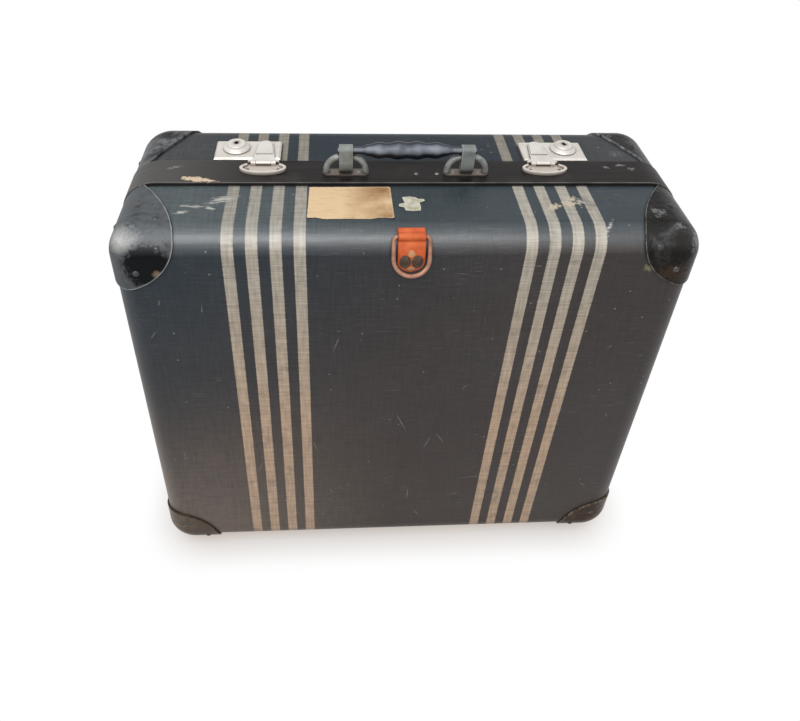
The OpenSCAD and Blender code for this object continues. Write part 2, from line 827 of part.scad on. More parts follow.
module lid_shell() {
    color("#323c46") lid_half()
        tray(case_w, case_h, corner_r, edge_r, shell_t, lid_gap, lid_depth);
}

module lid_frame() {
    color("#8a6a45") lid_half()
        rim_ring(-shell_t - wall_gap, frame_t, lid_frame_start, lid_frame_end);
}

module lid_lining() {
    color("#b9a888") lid_half() lining(lid_frame_end + lining_gap, lid_depth);
}

module lid_cap_top_left() {
    color("#26282b") lid_half() corner_at(1, 1) lid_cap(0);
}

module lid_cap_top_right() {
    color("#26282b") lid_half() corner_at(-1, 1) lid_cap(90);
}

module lid_cap_bottom_left() {
    color("#26282b") lid_half() corner_at(1, -1) lid_cap(270);
}

module lid_cap_bottom_right() {
    color("#26282b") lid_half() corner_at(-1, -1) lid_cap(180);
}

module lid_cap_rivets() { color("#6d6a66") lid_half() cap_rivets(lid_depth); }

module lid_foot_studs() { color("#77726b") lid_half() foot_studs(lid_depth); }

// Hinges, drawn for the right-hand side

// leaf under the shell with knuckles at the given places; side is -1 for the front half
module hinge_leaf(side, places) {
    clear = knuckle_r + knuckle_gap;
    at_joint() translate([hinge_x, axis_y, 0]) difference() {
        union() {
            translate([-hinge_w / 2, side > 0 ? clear : -leaf_l, foot_h - seat - leaf_t])
                cube([hinge_w, leaf_l - clear, leaf_t]);
            for (i = places) translate([(i - 2) * knuckle_l, 0, 0]) {
                translate([0, 0, axis_z]) rotate([0, 90, 0])
                    cylinder(r = knuckle_r, h = knuckle_l - knuckle_gap, center = true);
                translate([(knuckle_gap - knuckle_l) / 2, side > 0 ? 0 : -clear - 1,
                    foot_h - seat - leaf_t]) cube([knuckle_l - knuckle_gap, clear + 1, leaf_t]);
            }
        }
        translate([0, 0, axis_z]) rotate([0, 90, 0])
            cylinder(d = hinge_pin_d + 2 * run, h = hinge_w + 2, center = true);
    }
}

module hinge_rivets(side) {
    for (s = [-1, 1], x = [-1, 0, 1])
        translate([s * hinge_x + x * (hinge_w / 2 - 8), axis_y + side * 13,
            foot_h - seat - leaf_t]) rotate([180, 0, 0]) rivet(5, 1);
}

module base_hinge_leaf_right() { color("#8f8a82") hinge_leaf(-1, [0, 2, 4]); }

module base_hinge_leaf_left() { color("#8f8a82") left_hand() hinge_leaf(-1, [0, 2, 4]); }

module lid_hinge_leaf_right() { color("#8f8a82") hinge_leaf(1, [1, 3]); }

module lid_hinge_leaf_left() { color("#8f8a82") left_hand() hinge_leaf(1, [1, 3]); }

module hinge_pins() {
    color("#7d786f") at_joint() for (s = [-1, 1]) translate([s * hinge_x, axis_y, axis_z])
        rotate([0, 90, 0]) cylinder(d = hinge_pin_d, h = hinge_w, center = true);
}

module base_hinge_rivets() { color("#7d786f") at_joint() hinge_rivets(-1); }

module lid_hinge_rivets() { color("#7d786f") at_joint() hinge_rivets(1); }

base_shell();
base_lining();
base_frame();
rim_band();
base_cap_top_left();
base_cap_top_right();
base_cap_bottom_left();
base_cap_bottom_right();
base_cap_rivets();
base_foot_studs();
handle_ring_left();
handle_ring_right();
handle_ring_rivets();
band_rivets();
hasp_base_left();
hasp_base_right();
hasp_base_rivets();
hasp_pins();
hasp_left();
hasp_right();
handle_grip();
handle_loop_left();
handle_loop_right();
tag_tab();
tag_rivets();
tag_ring();
paper_label();
paper_scrap();
lid_shell();
lid_lining();
lid_frame();
lid_cap_top_left();
lid_cap_top_right();
lid_cap_bottom_left();
lid_cap_bottom_right();
lid_cap_rivets();
lid_foot_studs();
lock_plate_left();
lock_plate_right();
lock_button_left();
lock_button_right();
lock_spring_left();
lock_spring_right();
key_plug_left();
key_plug_right();
base_hinge_leaf_left();
base_hinge_leaf_right();
lid_hinge_leaf_left();
lid_hinge_leaf_right();
hinge_pins();
base_hinge_rivets();
lid_hinge_rivets();
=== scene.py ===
# A hard suitcase from the days of rail travel, standing on its hinge side. Two pressed fibre
# half shells under striped canvas, bound by a rim band and corner caps, with a carrying handle,
# two slide-button locks, a tag ring and two scraps of paper.
import json
import math
import random

import bmesh
import bpy
from mathutils import Matrix, Vector
from mathutils.geometry import delaunay_2d_cdt
from mathutils.noise import noise

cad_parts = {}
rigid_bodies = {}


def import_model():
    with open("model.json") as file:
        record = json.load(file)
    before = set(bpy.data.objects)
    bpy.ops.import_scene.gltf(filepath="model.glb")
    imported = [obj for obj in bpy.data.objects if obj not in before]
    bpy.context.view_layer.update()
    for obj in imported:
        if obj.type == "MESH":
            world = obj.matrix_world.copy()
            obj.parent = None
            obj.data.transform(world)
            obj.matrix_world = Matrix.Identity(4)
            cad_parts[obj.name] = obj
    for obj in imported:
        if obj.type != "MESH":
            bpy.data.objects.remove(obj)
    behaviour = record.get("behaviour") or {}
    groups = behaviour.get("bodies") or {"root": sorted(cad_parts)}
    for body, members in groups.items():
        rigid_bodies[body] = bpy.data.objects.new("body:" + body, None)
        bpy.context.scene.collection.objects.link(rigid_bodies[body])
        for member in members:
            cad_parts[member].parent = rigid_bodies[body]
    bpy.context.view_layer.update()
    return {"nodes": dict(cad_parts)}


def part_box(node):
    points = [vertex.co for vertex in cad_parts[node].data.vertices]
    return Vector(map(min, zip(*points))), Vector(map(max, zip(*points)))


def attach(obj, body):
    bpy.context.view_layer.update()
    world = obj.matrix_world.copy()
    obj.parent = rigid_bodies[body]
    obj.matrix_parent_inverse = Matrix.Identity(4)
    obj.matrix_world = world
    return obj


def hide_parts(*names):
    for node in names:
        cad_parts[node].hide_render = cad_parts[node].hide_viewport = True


for thing in list(bpy.data.objects):
    bpy.data.objects.remove(thing)
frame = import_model()

# The viewpoint. The case was photographed from above and in front, a little left of its middle,
# and the picture was cut down afterwards, so the lens centre lies above the picture's centre.
mm = 0.001
picture_w, picture_h = 800, 721
lens_x, lens_y, lens_px = 384, 250, 740.8
eye_at = (-81.7, -687.1, 943.0)
heading, tilt, roll = (math.radians(a) for a in (5.1, 37.118, 2.739))
eye = bpy.data.cameras.new("viewpoint")
eye.sensor_fit = "HORIZONTAL"
eye.sensor_width = 36
eye.lens = eye.sensor_width * lens_px / picture_w
eye.shift_x = (picture_w / 2 - lens_x) / picture_w
eye.shift_y = (lens_y - picture_h / 2) / picture_w
viewpoint = bpy.data.objects.new("viewpoint", eye)
viewpoint.matrix_world = (
    Matrix.Translation(Vector(eye_at) * mm)
    @ Matrix.Rotation(-heading, 4, "Z")
    @ Matrix.Rotation(math.pi / 2 - tilt, 4, "X")
    @ Matrix.Rotation(roll, 4, "Z")
)
bpy.context.scene.collection.objects.link(viewpoint)
bpy.context.scene.camera = viewpoint
bpy.context.scene.view_settings.view_transform = "Standard"


# The studio. A soft lamp hangs above and in front, the room is pale all round, and the floor is
# clear but for the shade that the case leaves on it, because the opened half hangs below it.
def ink(code):
    """Linear colour of an sRGB hex code."""
    parts = [int(code[i : i + 2], 16) / 255 for i in (1, 3, 5)]
    return (*(c / 12.92 if c <= 0.04045 else ((c + 0.055) / 1.055) ** 2.4 for c in parts), 1)


def node(tree, kind, inputs=None, **settings):
    """Adds a node; an input takes a value, a socket, or another node's first output."""
    made = tree.nodes.new(kind)
    for name, value in settings.items():
        setattr(made, name, value)
    for key, value in (inputs or {}).items():
        if isinstance(value, bpy.types.Node):
            value = value.outputs[0]
        if isinstance(value, bpy.types.NodeSocket):
            tree.links.new(value, made.inputs[key])
        else:
            made.inputs[key].default_value = value
    return made


room = bpy.data.worlds.new("pale_room")
room.use_nodes = True
tree = room.node_tree
tree.nodes.clear()
height = node(tree, "ShaderNodeSeparateXYZ", {0: node(tree, "ShaderNodeTexCoord").outputs["Generated"]})
lift = node(tree, "ShaderNodeMapRange", {0: height.outputs["Z"], 1: -0.4, 2: 0.7})
walls = {0: lift, 6: ink("#9a8c80"), 7: ink("#e6ecf2")}
walls = node(tree, "ShaderNodeMix", walls, data_type="RGBA").outputs[2]
soft = node(tree, "ShaderNodeBackground", {"Color": walls, "Strength": 0.6})
white = node(tree, "ShaderNodeBackground", {"Color": ink("#ffffff"), "Strength": 1.0})
path = node(tree, "ShaderNodeLightPath")
seen = path.outputs["Is Camera Ray"]
for ray in ("Is Glossy Ray", "Is Transmission Ray"):
    seen = node(tree, "ShaderNodeMath", {0: seen, 1: path.outputs[ray]}, operation="MAXIMUM")
sky = node(tree, "ShaderNodeMixShader", {0: seen, 1: soft, 2: white})
node(tree, "ShaderNodeOutputWorld", {0: sky})
bpy.context.scene.world = room

lamp = bpy.data.lights.new("soft_lamp", "AREA")
lamp.shape = "RECTANGLE"
lamp.size, lamp.size_y = 2.4, 1.1
lamp.energy = 37
lamp.color = ink("#fbfdff")[:3]
lamp_aim = Vector((0, 0, 0.3))
hung = bpy.data.objects.new("soft_lamp", lamp)
hung.location = (-0.5, -1.3, 2.05)
hung.rotation_euler = (lamp_aim - hung.location).to_track_quat("-Z", "Y").to_euler()
bpy.context.scene.collection.objects.link(hung)

floor_reach = 3
floor_drop = 0.3 * mm
floor_mesh = bpy.data.meshes.new("clear_floor")
floor_corners = [(x * floor_reach, y * floor_reach, 0) for x, y in ((-1, -1), (1, -1), (1, 1), (-1, 1))]
floor_mesh.from_pydata(floor_corners, [], [(0, 1, 2, 3)])
floor = bpy.data.objects.new("clear_floor", floor_mesh)
floor.location.z = -floor_drop
bpy.context.scene.collection.objects.link(floor)
glassy = bpy.data.materials.new("clear_floor_with_shade")
glassy.use_nodes = True
tree = glassy.node_tree
tree.nodes.clear()
shade = node(tree, "ShaderNodeAmbientOcclusion", {"Distance": 60 * mm}, samples=12)
depth = node(tree, "ShaderNodeMapRange", {0: shade.outputs["AO"], 1: 0.15, 2: 0.9})
tone = {0: depth, 6: ink("#bdb2aa"), 7: ink("#ffffff")}
tone = node(tree, "ShaderNodeMix", tone, data_type="RGBA").outputs[2]
clear = node(tree, "ShaderNodeBsdfTransparent", {0: tone})
node(tree, "ShaderNodeOutputMaterial", {0: clear})
floor_mesh.materials.append(glassy)


# The two half shells. Each is a tray of pressed fibre board covered in slate-blue canvas, with
# four cream stripes woven into it on either side of the handle. The cloth is glued down and
# varnished; years of handling have scratched it. Its brown towards the ground is painted warm
# light from the floor, and its deeper slate blue high on the left and on top is painted cool light.
def finish(name, **sockets):
    """New material with its shader's own sockets set, its tree, shader and object place."""
    made = bpy.data.materials.new(name)
    made.use_nodes = True
    shader = made.node_tree.nodes["Principled BSDF"]
    for key, value in sockets.items():
        shader.inputs[key.replace("_", " ")].default_value = value
    place = node(made.node_tree, "ShaderNodeTexCoord").outputs["Object"]
    return made, made.node_tree, shader, place


def dressed(tree, shader, colour, pattern, strength, height, rough=None):
    """Gives a shader its colour and a relief of a pattern, whose height is in mm.

    rough is a pattern, two of its values, and the roughness at each of them.
    """
    tree.links.new(colour, shader.inputs["Base Color"])
    relief = node(
        tree, "ShaderNodeBump", {"Strength": strength, "Distance": height * mm, "Height": pattern}
    )
    tree.links.new(relief.outputs[0], shader.inputs["Normal"])
    if rough:
        gloss = node(tree, "ShaderNodeMapRange", dict(enumerate(rough)))
        tree.links.new(gloss.outputs[0], shader.inputs["Roughness"])


def coat(material, *names):
    """Gives a material to CAD nodes."""
    for name in names:
        for slot in frame["nodes"][name].material_slots:
            slot.material = material


def corners(name):
    """Lowest and highest corner of a CAD node in mm, to a hundredth."""
    return [[round(v / mm, 2) for v in corner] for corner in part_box(name)]


def threads(tree, place, counts, detail):
    """Noise drawn out into threads or grain: how many lie in a metre along each axis."""
    spread = node(tree, "ShaderNodeVectorMath", {0: place, 1: counts}, operation="MULTIPLY")
    return node(tree, "ShaderNodeTexNoise", {"Vector": spread, "Scale": 1.0, "Detail": detail})


def rubbed(tree, place, marks, ragged=0.9, grain=(260, 260, 260), core=0.7, share=1.0):
    """Mask of worn places: each mark is a centre, three half sizes in mm and a turn in degrees.

    ragged is how frayed the outline is, grain the fraying's scale along each axis, core the share
    of the half sizes inside which the mask is full, and share the most that the mask reaches.
    """
    fray = threads(tree, place, grain, 5.0)
    fray = node(
        tree, "ShaderNodeMath", {0: fray, 1: 4 * ragged, 2: -2 * ragged}, operation="MULTIPLY_ADD"
    )
    total = None
    for centre, reach, turn in marks:
        near = node(
            tree,
            "ShaderNodeMapping",
            {
                "Vector": place,
                "Location": Vector(centre) * mm,
                "Rotation": [math.radians(a) for a in turn],
                "Scale": Vector(reach) * mm,
            },
            vector_type="TEXTURE",
        )
        away = node(tree, "ShaderNodeVectorMath", {0: near}, operation="LENGTH").outputs["Value"]
        away = node(tree, "ShaderNodeMath", {0: away, 1: fray}, operation="ADD")
        inside = node(tree, "ShaderNodeMapRange", {0: away, 1: 1.05, 2: core, 4: share})
        total = inside if total is None else node(
            tree, "ShaderNodeMath", {0: total, 1: inside}, operation="MAXIMUM"
        )
    return total


shell_low, shell_high = corners("base_shell")
half_w, joint_y, top_z = shell_high
_, front_y, foot_z = shell_low
band_y = corners("rim_band")[0][1]
flat = (0, 0, 0)


def on_top(x, y, half_x, half_y, turn=0, height=top_z, depth=25):
    """Mark on the top wall, deep enough to go right through it."""
    return (x, y, height), (half_x, half_y, depth), (0, 0, turn)


def front_edge(tree, y, z, start, full):
    """Mask of the rounded front top edge: it starts and is full at two depths in mm."""
    above = node(tree, "ShaderNodeMapRange", {0: z, 1: (top_z - start) * mm, 2: (top_z - full) * mm})
    before = node(
        tree, "ShaderNodeMapRange", {0: y, 1: (front_y + start) * mm, 2: (front_y + full) * mm}
    )
    return node(tree, "ShaderNodeMath", {0: above, 1: before}, operation="MULTIPLY")


# varnished cotton canvas: a low sheen, with the weave standing out as fine slubs
canvas, tree, shader, place = finish("striped_canvas")
x, y, z = node(tree, "ShaderNodeSeparateXYZ", {0: place}).outputs
facing = node(tree, "ShaderNodeTexCoord").outputs["Normal"]
facing = node(tree, "ShaderNodeSeparateXYZ", {0: facing}).outputs
# painted light: brown from the ground up is warm light from the floor, lighter on the left is
# light from the left, and slate blue high on the left and on the top is cool light from above
left = node(tree, "ShaderNodeMapRange", {0: x, 1: 0.0, 2: -220 * mm})
low = node(tree, "ShaderNodeMapRange", {0: z, 1: 50 * mm, 2: 320 * mm})
slope = node(tree, "ShaderNodeMath", {0: x, 1: -0.8, 2: z}, operation="MULTIPLY_ADD")
high = node(tree, "ShaderNodeMapRange", {0: slope, 1: 360 * mm, 2: 680 * mm})
above = node(tree, "ShaderNodeMapRange", {0: facing["Z"], 1: 0.35, 2: 0.9})
high = node(tree, "ShaderNodeMath", {0: high, 1: above}, operation="MAXIMUM")
# painted light: the left side wall is painted tan near its foot, as warm light from the left and
# from the floor
lit_tan_flank = node(tree, "ShaderNodeMapRange", {0: facing["X"], 1: -0.35, 2: -0.9, 4: 0.7})
knee = node(tree, "ShaderNodeMapRange", {0: z, 1: 340 * mm, 2: 140 * mm})
lit_tan_flank = node(tree, "ShaderNodeMath", {0: lit_tan_flank, 1: knee}, operation="MULTIPLY")
# soft clouds about 150 mm across where the varnish has worn thin
cloud = node(tree, "ShaderNodeTexNoise", {"Vector": place, "Scale": 7.0, "Detail": 3.0})
cloud = node(tree, "ShaderNodeMapRange", {0: cloud, 1: 0.4, 2: 0.75, 4: 0.22})
# dust in the cloth of the top wall, in front of the rim band; its share is larger on the left as
# painted light from the left
dust_and_left_light = node(tree, "ShaderNodeMapRange", {0: facing["Z"], 1: 0.6, 2: 0.97})
left_light = node(tree, "ShaderNodeMapRange", {0: x, 1: -220 * mm, 2: 0.0, 3: 0.6, 4: 0.2})
ahead = node(tree, "ShaderNodeMapRange", {0: y, 1: (band_y + 7) * mm, 2: band_y * mm})
for mask in (left_light, ahead):
    dust_and_left_light = node(tree, "ShaderNodeMath", {0: dust_and_left_light, 1: mask}, operation="MULTIPLY")
# the back half has faded to a brown grey towards both ends
side = node(tree, "ShaderNodeMath", {0: x}, operation="ABSOLUTE")
rear = node(tree, "ShaderNodeMapRange", {0: y, 1: joint_y * mm, 2: (joint_y + 1) * mm})
ends = node(tree, "ShaderNodeMapRange", {0: side, 1: 100 * mm, 2: 270 * mm, 4: 0.75})
ends = node(tree, "ShaderNodeMath", {0: ends, 1: rear}, operation="MULTIPLY")
# painted light: the brown ground, lighter left, slate blue up high, tan flank and part of the dust
ground = ink("#3c312b")
for mask, paint in (
    (left, "#70635a"),
    (low, "#393332"),
    (high, "#1f2b33"),
    (lit_tan_flank, "#877563"),
    (cloud, "#494a4c"),
    (dust_and_left_light, "#5a6262"),
    (ends, "#4d4b4a"),
):
    mixed = node(tree, "ShaderNodeMix", {0: mask, 6: ground, 7: ink(paint)}, data_type="RGBA")
    ground = mixed.outputs[2]
# the stripes, as wide as the gaps between them, 23.5 mm apart, the first 112.6 mm from the middle;
# the cloth was laid a little askew on the right, so that its stripes lean outwards by 1 in 73
pitch = 23.5 * mm
first_stripe = 112.6 * mm
askew = node(tree, "ShaderNodeMapRange", {0: z, 1: 40 * mm, 2: top_z * mm, 4: 6.6 * mm})
right = node(tree, "ShaderNodeMath", {0: x, 1: 0.0}, operation="GREATER_THAN")
askew = node(tree, "ShaderNodeMath", {0: askew, 1: right}, operation="MULTIPLY")
side = node(tree, "ShaderNodeMath", {0: side, 1: askew}, operation="SUBTRACT")
count = {0: side, 1: 1 / pitch, 2: 0.5 - first_stripe / pitch}
count = node(tree, "ShaderNodeMath", count, operation="MULTIPLY_ADD")
# real threads lie 0.8 mm apart, drawn at 2.4 mm so that they show
weft = threads(tree, place, (35, 420, 420), 2.0)
warp = threads(tree, place, (420, 35, 35), 2.0)
edge = node(tree, "ShaderNodeMath", {0: count, 1: 0.5}, operation="PINGPONG")
edge = node(tree, "ShaderNodeMath", {0: weft, 1: 0.03, 2: edge}, operation="MULTIPLY_ADD")
band = node(tree, "ShaderNodeMapRange", {0: edge, 1: 0.248, 2: 0.282})
within = node(tree, "ShaderNodeMath", {0: count, 1: 2.0, 2: 2.0}, operation="COMPARE")
stripe = node(tree, "ShaderNodeMath", {0: band, 1: within}, operation="MULTIPLY")
# the pale thread is warmer below, as painted warm light from the floor, and faded behind, with
# small brown stains and ribs of the weft
warm = node(tree, "ShaderNodeMapRange", {0: z, 1: 240 * mm, 2: 460 * mm})
faded = node(tree, "ShaderNodeMath", {0: rear, 1: 0.62}, operation="MULTIPLY")
stain = node(tree, "ShaderNodeTexNoise", {"Vector": place, "Scale": 55.0, "Detail": 5.0})
stain = node(tree, "ShaderNodeMapRange", {0: stain, 1: 0.55, 2: 0.75, 4: 0.5})
rib_pitch = 2.2 * mm
ribs = node(tree, "ShaderNodeMath", {0: y, 1: z}, operation="ADD")
ribs = node(tree, "ShaderNodeMath", {0: ribs, 1: 2 * math.pi / rib_pitch}, operation="MULTIPLY")
ribs = node(tree, "ShaderNodeMath", {0: ribs}, operation="SINE")
ribs = node(tree, "ShaderNodeMapRange", {0: ribs, 1: -1.0, 2: 1.0, 3: 0.86, 4: 1.06})
cream = ink("#caae94")
for mask, paint in ((warm, "#bab1a2"), (dust_and_left_light, "#7a7972"), (faded, "#6d675d"), (stain, "#6f655a")):
    mixed = node(tree, "ShaderNodeMix", {0: mask, 6: cream, 7: ink(paint)}, data_type="RGBA")
    cream = mixed.outputs[2]
mixed = {0: 1.0, 6: cream, 7: ribs}
mixed = node(tree, "ShaderNodeMix", mixed, data_type="RGBA", blend_type="MULTIPLY")
cream = mixed.outputs[2]
weave = node(tree, "ShaderNodeMath", {0: weft, 1: warp}, operation="ADD")
slub = node(tree, "ShaderNodeMapRange", {0: weave, 1: 0.6, 2: 1.4, 3: 0.7, 4: 1.32})
# fine scuffs along the weft, 20 mm long and 1 mm wide, in patches about 70 mm across
scuff = threads(tree, place, (50, 900, 900), 2.0)
scuff = node(tree, "ShaderNodeMapRange", {0: scuff, 1: 0.62, 2: 0.74, 4: 0.45})
patch = node(tree, "ShaderNodeTexNoise", {"Vector": place, "Scale": 14.0, "Detail": 3.0})
patch = node(tree, "ShaderNodeMapRange", {0: patch, 1: 0.46, 2: 0.62})
scuff = node(tree, "ShaderNodeMath", {0: scuff, 1: patch}, operation="MULTIPLY")
# specks of bare fibre, about a millimetre across and some 12 mm apart
cells = node(tree, "ShaderNodeTexVoronoi", {"Vector": place, "Scale": 85.0})
speck = node(tree, "ShaderNodeMapRange", {0: cells.outputs["Distance"], 1: 0.1, 2: 0.045})
pick = node(tree, "ShaderNodeSeparateColor", {0: cells.outputs["Color"]})
rare = node(tree, "ShaderNodeMath", {0: pick.outputs[0], 1: 0.68}, operation="GREATER_THAN")
speck = node(tree, "ShaderNodeMath", {0: speck, 1: rare}, operation="MULTIPLY")
# chalky rubs and tears in the cloth of the top wall, and two damp rings on the back half
chalk_marks = [
    on_top(-194, -43.5, 14, 6, 22),
    on_top(-219.5, -56, 11.5, 2.6, -5),
    on_top(-203, -59.6, 7.5, 2.2, -25),
    on_top(-230, -65.8, 7, 2.6, 17),
    on_top(181, -47, 9, 2.8, -45),
    on_top(199, -91, 10, 2, 53),
]
chalky = rubbed(tree, place, chalk_marks, 1.1, (110, 460, 200), 0.25, 0.85)
tears = [on_top(168.5, -52, 10.5, 5.6), on_top(151, -57, 10, 4, 29), on_top(171, -42, 7, 4.4)]
torn = rubbed(tree, place, tears, 1.0, core=0.4)
rings = [on_top(250, 52, 9, 6), on_top(275, 57, 6, 5)]
damp = rubbed(tree, place, rings, 1.0, core=0.0, share=0.4)
# scratches in the varnish of the front: x and z of the middle, half length and turn of each
scratches = [
    (-77, 375, 13, 107), (1, 242, 20, 67), (34, 203, 15, -72), (50, 212, 12, 59),
    (-103, 203, 9, 72), (-171, 165, 13, -70), (-261, 192, 8, 89), (16, 100, 12, 90),
    (-215, 428, 7, 94), (-257, 436, 4.5, 104), (-269, 392, 6.5, -58), (-84, 111, 4.5, 63),
    (30, 57, 10, 58), (229, 364, 5.5, -57), (251, 249, 6, 75), (71, 303, 5.5, 121),
    (103, 133, 24, -7), (250, 109, 6, 47), (128, 481, 5, -7), (77, 97, 8, -13),
]
mark_depth, scratch_w = 12, 0.7
scratches = [
    ((middle_x, front_y, middle_z), (reach, mark_depth, scratch_w), (0, turn, 0))
    for middle_x, middle_z, reach, turn in scratches
]
hairline = rubbed(tree, place, scratches, 0.6, (500, 500, 500), 0.2, 0.5)
olive = rubbed(tree, place, [((245, front_y, 478), (6, mark_depth, 5), flat)], 0.6, core=0.2)
# painted shade: black in the corners, where the band, the caps and the fittings stand on the cloth
contact_shade = node(tree, "ShaderNodeAmbientOcclusion", {"Distance": 4 * mm}, samples=8)
contact_shade = node(tree, "ShaderNodeMapRange", {0: contact_shade.outputs["AO"], 1: 0.92, 2: 0.5, 4: 0.9})
mixed = node(tree, "ShaderNodeMix", {0: stripe, 6: ground, 7: cream}, data_type="RGBA")
mixed = {0: 1.0, 6: mixed.outputs[2], 7: slub}
mixed = node(tree, "ShaderNodeMix", mixed, data_type="RGBA", blend_type="MULTIPLY")
cloth = mixed.outputs[2]
for mask, paint in (
    (scuff, "#8a847c"),
    (speck, "#8f8c84"),
    (chalky, "#c3bfb6"),
    (damp, "#8b8884"),
    (torn, "#cdbba3"),
    (hairline, "#a39c92"),
    (olive, "#8d8a5e"),
    (contact_shade, "#0d0d0e"),
):
    mixed = node(tree, "ShaderNodeMix", {0: mask, 6: cloth, 7: ink(paint)}, data_type="RGBA")
    cloth = mixed.outputs[2]
# sleeves and hands have polished the rounded front top edge; the back half is duller
polish = front_edge(tree, y, z, 25, 14)
behind = node(tree, "ShaderNodeMapRange", {0: rear, 3: 0.26, 4: 0.12})
lustre = node(tree, "ShaderNodeMath", {0: polish, 1: 0.74, 2: behind}, operation="MULTIPLY_ADD")
tree.links.new(lustre.outputs[0], shader.inputs["Specular IOR Level"])
dressed(tree, shader, cloth, weave, 0.22, 0.6, (weave, 0.6, 1.4, 0.36, 0.48))
coat(canvas, "base_shell", "lid_shell")


# The rim band. A strip of brown-black fibre bent round the mouth of the front half and glued on.
# Its front edge is worn pale and carries a painted highlight, its front face is painted black as
# shade, and a tear beside the left lock shows the tan board.
band_z = corners("rim_band")[1][2]
# rolled fibre: nearly matt, with long streaks that run round the case
rim_fibre, tree, shader, place = finish("rim_fibre", Specular_IOR_Level=0.1)
x, y, _ = node(tree, "ShaderNodeSeparateXYZ", {0: place}).outputs
streak = threads(tree, place, (18, 190, 60), 5.0)
tone = node(tree, "ShaderNodeMapRange", {0: streak, 1: 0.3, 2: 0.75})
# grey dirt in broad patches, dust on the left that is also painted light from the left, and a
# thin line along the front edge, worn pale and also a painted highlight
dirt = node(tree, "ShaderNodeTexNoise", {"Vector": place, "Scale": 26.0, "Detail": 6.0})
dirt = node(tree, "ShaderNodeMapRange", {0: dirt, 1: 0.55, 2: 0.75, 4: 0.45})
band_dust_and_left_light = node(tree, "ShaderNodeMapRange", {0: x, 1: -150 * mm, 2: -260 * mm, 4: 0.8})
fray = node(tree, "ShaderNodeTexNoise", {"Vector": place, "Scale": 60.0, "Detail": 4.0})
fray = node(tree, "ShaderNodeMapRange", {0: fray, 1: 0.35, 2: 0.65, 3: 0.4, 4: 0.9})
worn_lip_and_highlight = node(tree, "ShaderNodeMapRange", {0: y, 1: (band_y + 1.9) * mm, 2: (band_y + 1.0) * mm})
worn_lip_and_highlight = node(tree, "ShaderNodeMath", {0: worn_lip_and_highlight, 1: fray}, operation="MULTIPLY")
# painted shade: the front-facing cut face below the pale line is painted black
facing = node(tree, "ShaderNodeTexCoord").outputs["Normal"]
facing = node(tree, "ShaderNodeSeparateXYZ", {0: facing}).outputs
face = node(tree, "ShaderNodeMapRange", {0: facing["Y"], 1: -0.55, 2: -0.85, 4: 0.9})
tear = [on_top(-224, -9.5, 15, 4.6, -10, band_z), on_top(-210, -12.6, 9, 2.2, -8, band_z)]
bare = rubbed(tree, place, tear, 0.7)
rubs = [
    on_top(-250, 14.5, 9, 3, 20, band_z),
    on_top(227, 16.5, 5, 2, -30, band_z),
    on_top(255, 13, 4.5, 3, 0, band_z),
    on_top(243, 21, 7, 3, 0, band_z),
]
pale = rubbed(tree, place, rubs, 0.9, core=0.0)
fibre = ink("#171413")
for mask, paint in (
    (tone, "#302b2a"),
    (dirt, "#524b47"),
    (band_dust_and_left_light, "#5a5854"),
    (worn_lip_and_highlight, "#77726c"),
    (face, "#0e0d0d"),
    (bare, "#dcc2a6"),
    (pale, "#8a857f"),
):
    mixed = node(tree, "ShaderNodeMix", {0: mask, 6: fibre, 7: ink(paint)}, data_type="RGBA")
    fibre = mixed.outputs[2]
dressed(tree, shader, fibre, streak, 0.25, 0.8, (streak, 0.3, 0.75, 0.36, 0.55))
coat(rim_fibre, "rim_band")


# The inner frames and linings. Thin bent ash strips stiffen both mouths and let the halves close
# over each other; the linings are card covered in a plain checked cotton paper, glued in.
# steamed ash: a satin brown, with fine grain in long lines
ash, tree, shader, place = finish("bent_ash", Roughness=0.55)
grain = threads(tree, place, (14, 420, 14), 6.0)
tone = node(tree, "ShaderNodeMapRange", {0: grain, 1: 0.3, 2: 0.72})
wood = {0: tone, 6: ink("#6b4c2e"), 7: ink("#a9845a")}
wood = node(tree, "ShaderNodeMix", wood, data_type="RGBA").outputs[2]
dressed(tree, shader, wood, grain, 0.3, 0.5)
coat(ash, "base_frame", "lid_frame")

# the paper is matt and has yellowed in clouds; its hair lines are 1 mm wide and 12 mm apart
line_pitch = 12 * mm
checked, tree, shader, place = finish("checked_lining", Roughness=0.8, Specular_IOR_Level=0.2)
x, _, z = node(tree, "ShaderNodeSeparateXYZ", {0: place}).outputs
lines = []
for axis in (x, z):
    line = node(tree, "ShaderNodeMath", {0: axis, 1: line_pitch / 2}, operation="PINGPONG")
    lines.append(node(tree, "ShaderNodeMapRange", {0: line, 1: 0.75 * mm, 2: 0.45 * mm}))
net = node(tree, "ShaderNodeMath", {0: lines[0], 1: lines[1]}, operation="ADD")
net = node(tree, "ShaderNodeMath", {0: net, 1: 0.32}, operation="MULTIPLY", use_clamp=True)
stain = node(tree, "ShaderNodeTexNoise", {"Vector": place, "Scale": 11.0, "Detail": 5.0})
tone = node(tree, "ShaderNodeMapRange", {0: stain, 1: 0.35, 2: 0.7})
paper = ink("#b29f7e")
for mask, paint in ((tone, "#cdbd9d"), (net, "#6d6f70")):
    mixed = node(tree, "ShaderNodeMix", {0: mask, 6: paper, 7: ink(paint)}, data_type="RGBA")
    paper = mixed.outputs[2]
fibre = node(tree, "ShaderNodeTexNoise", {"Vector": place, "Scale": 600.0, "Detail": 2.0})
dressed(tree, shader, paper, fibre, 0.2, 0.4)
coat(checked, "base_lining", "lid_lining")


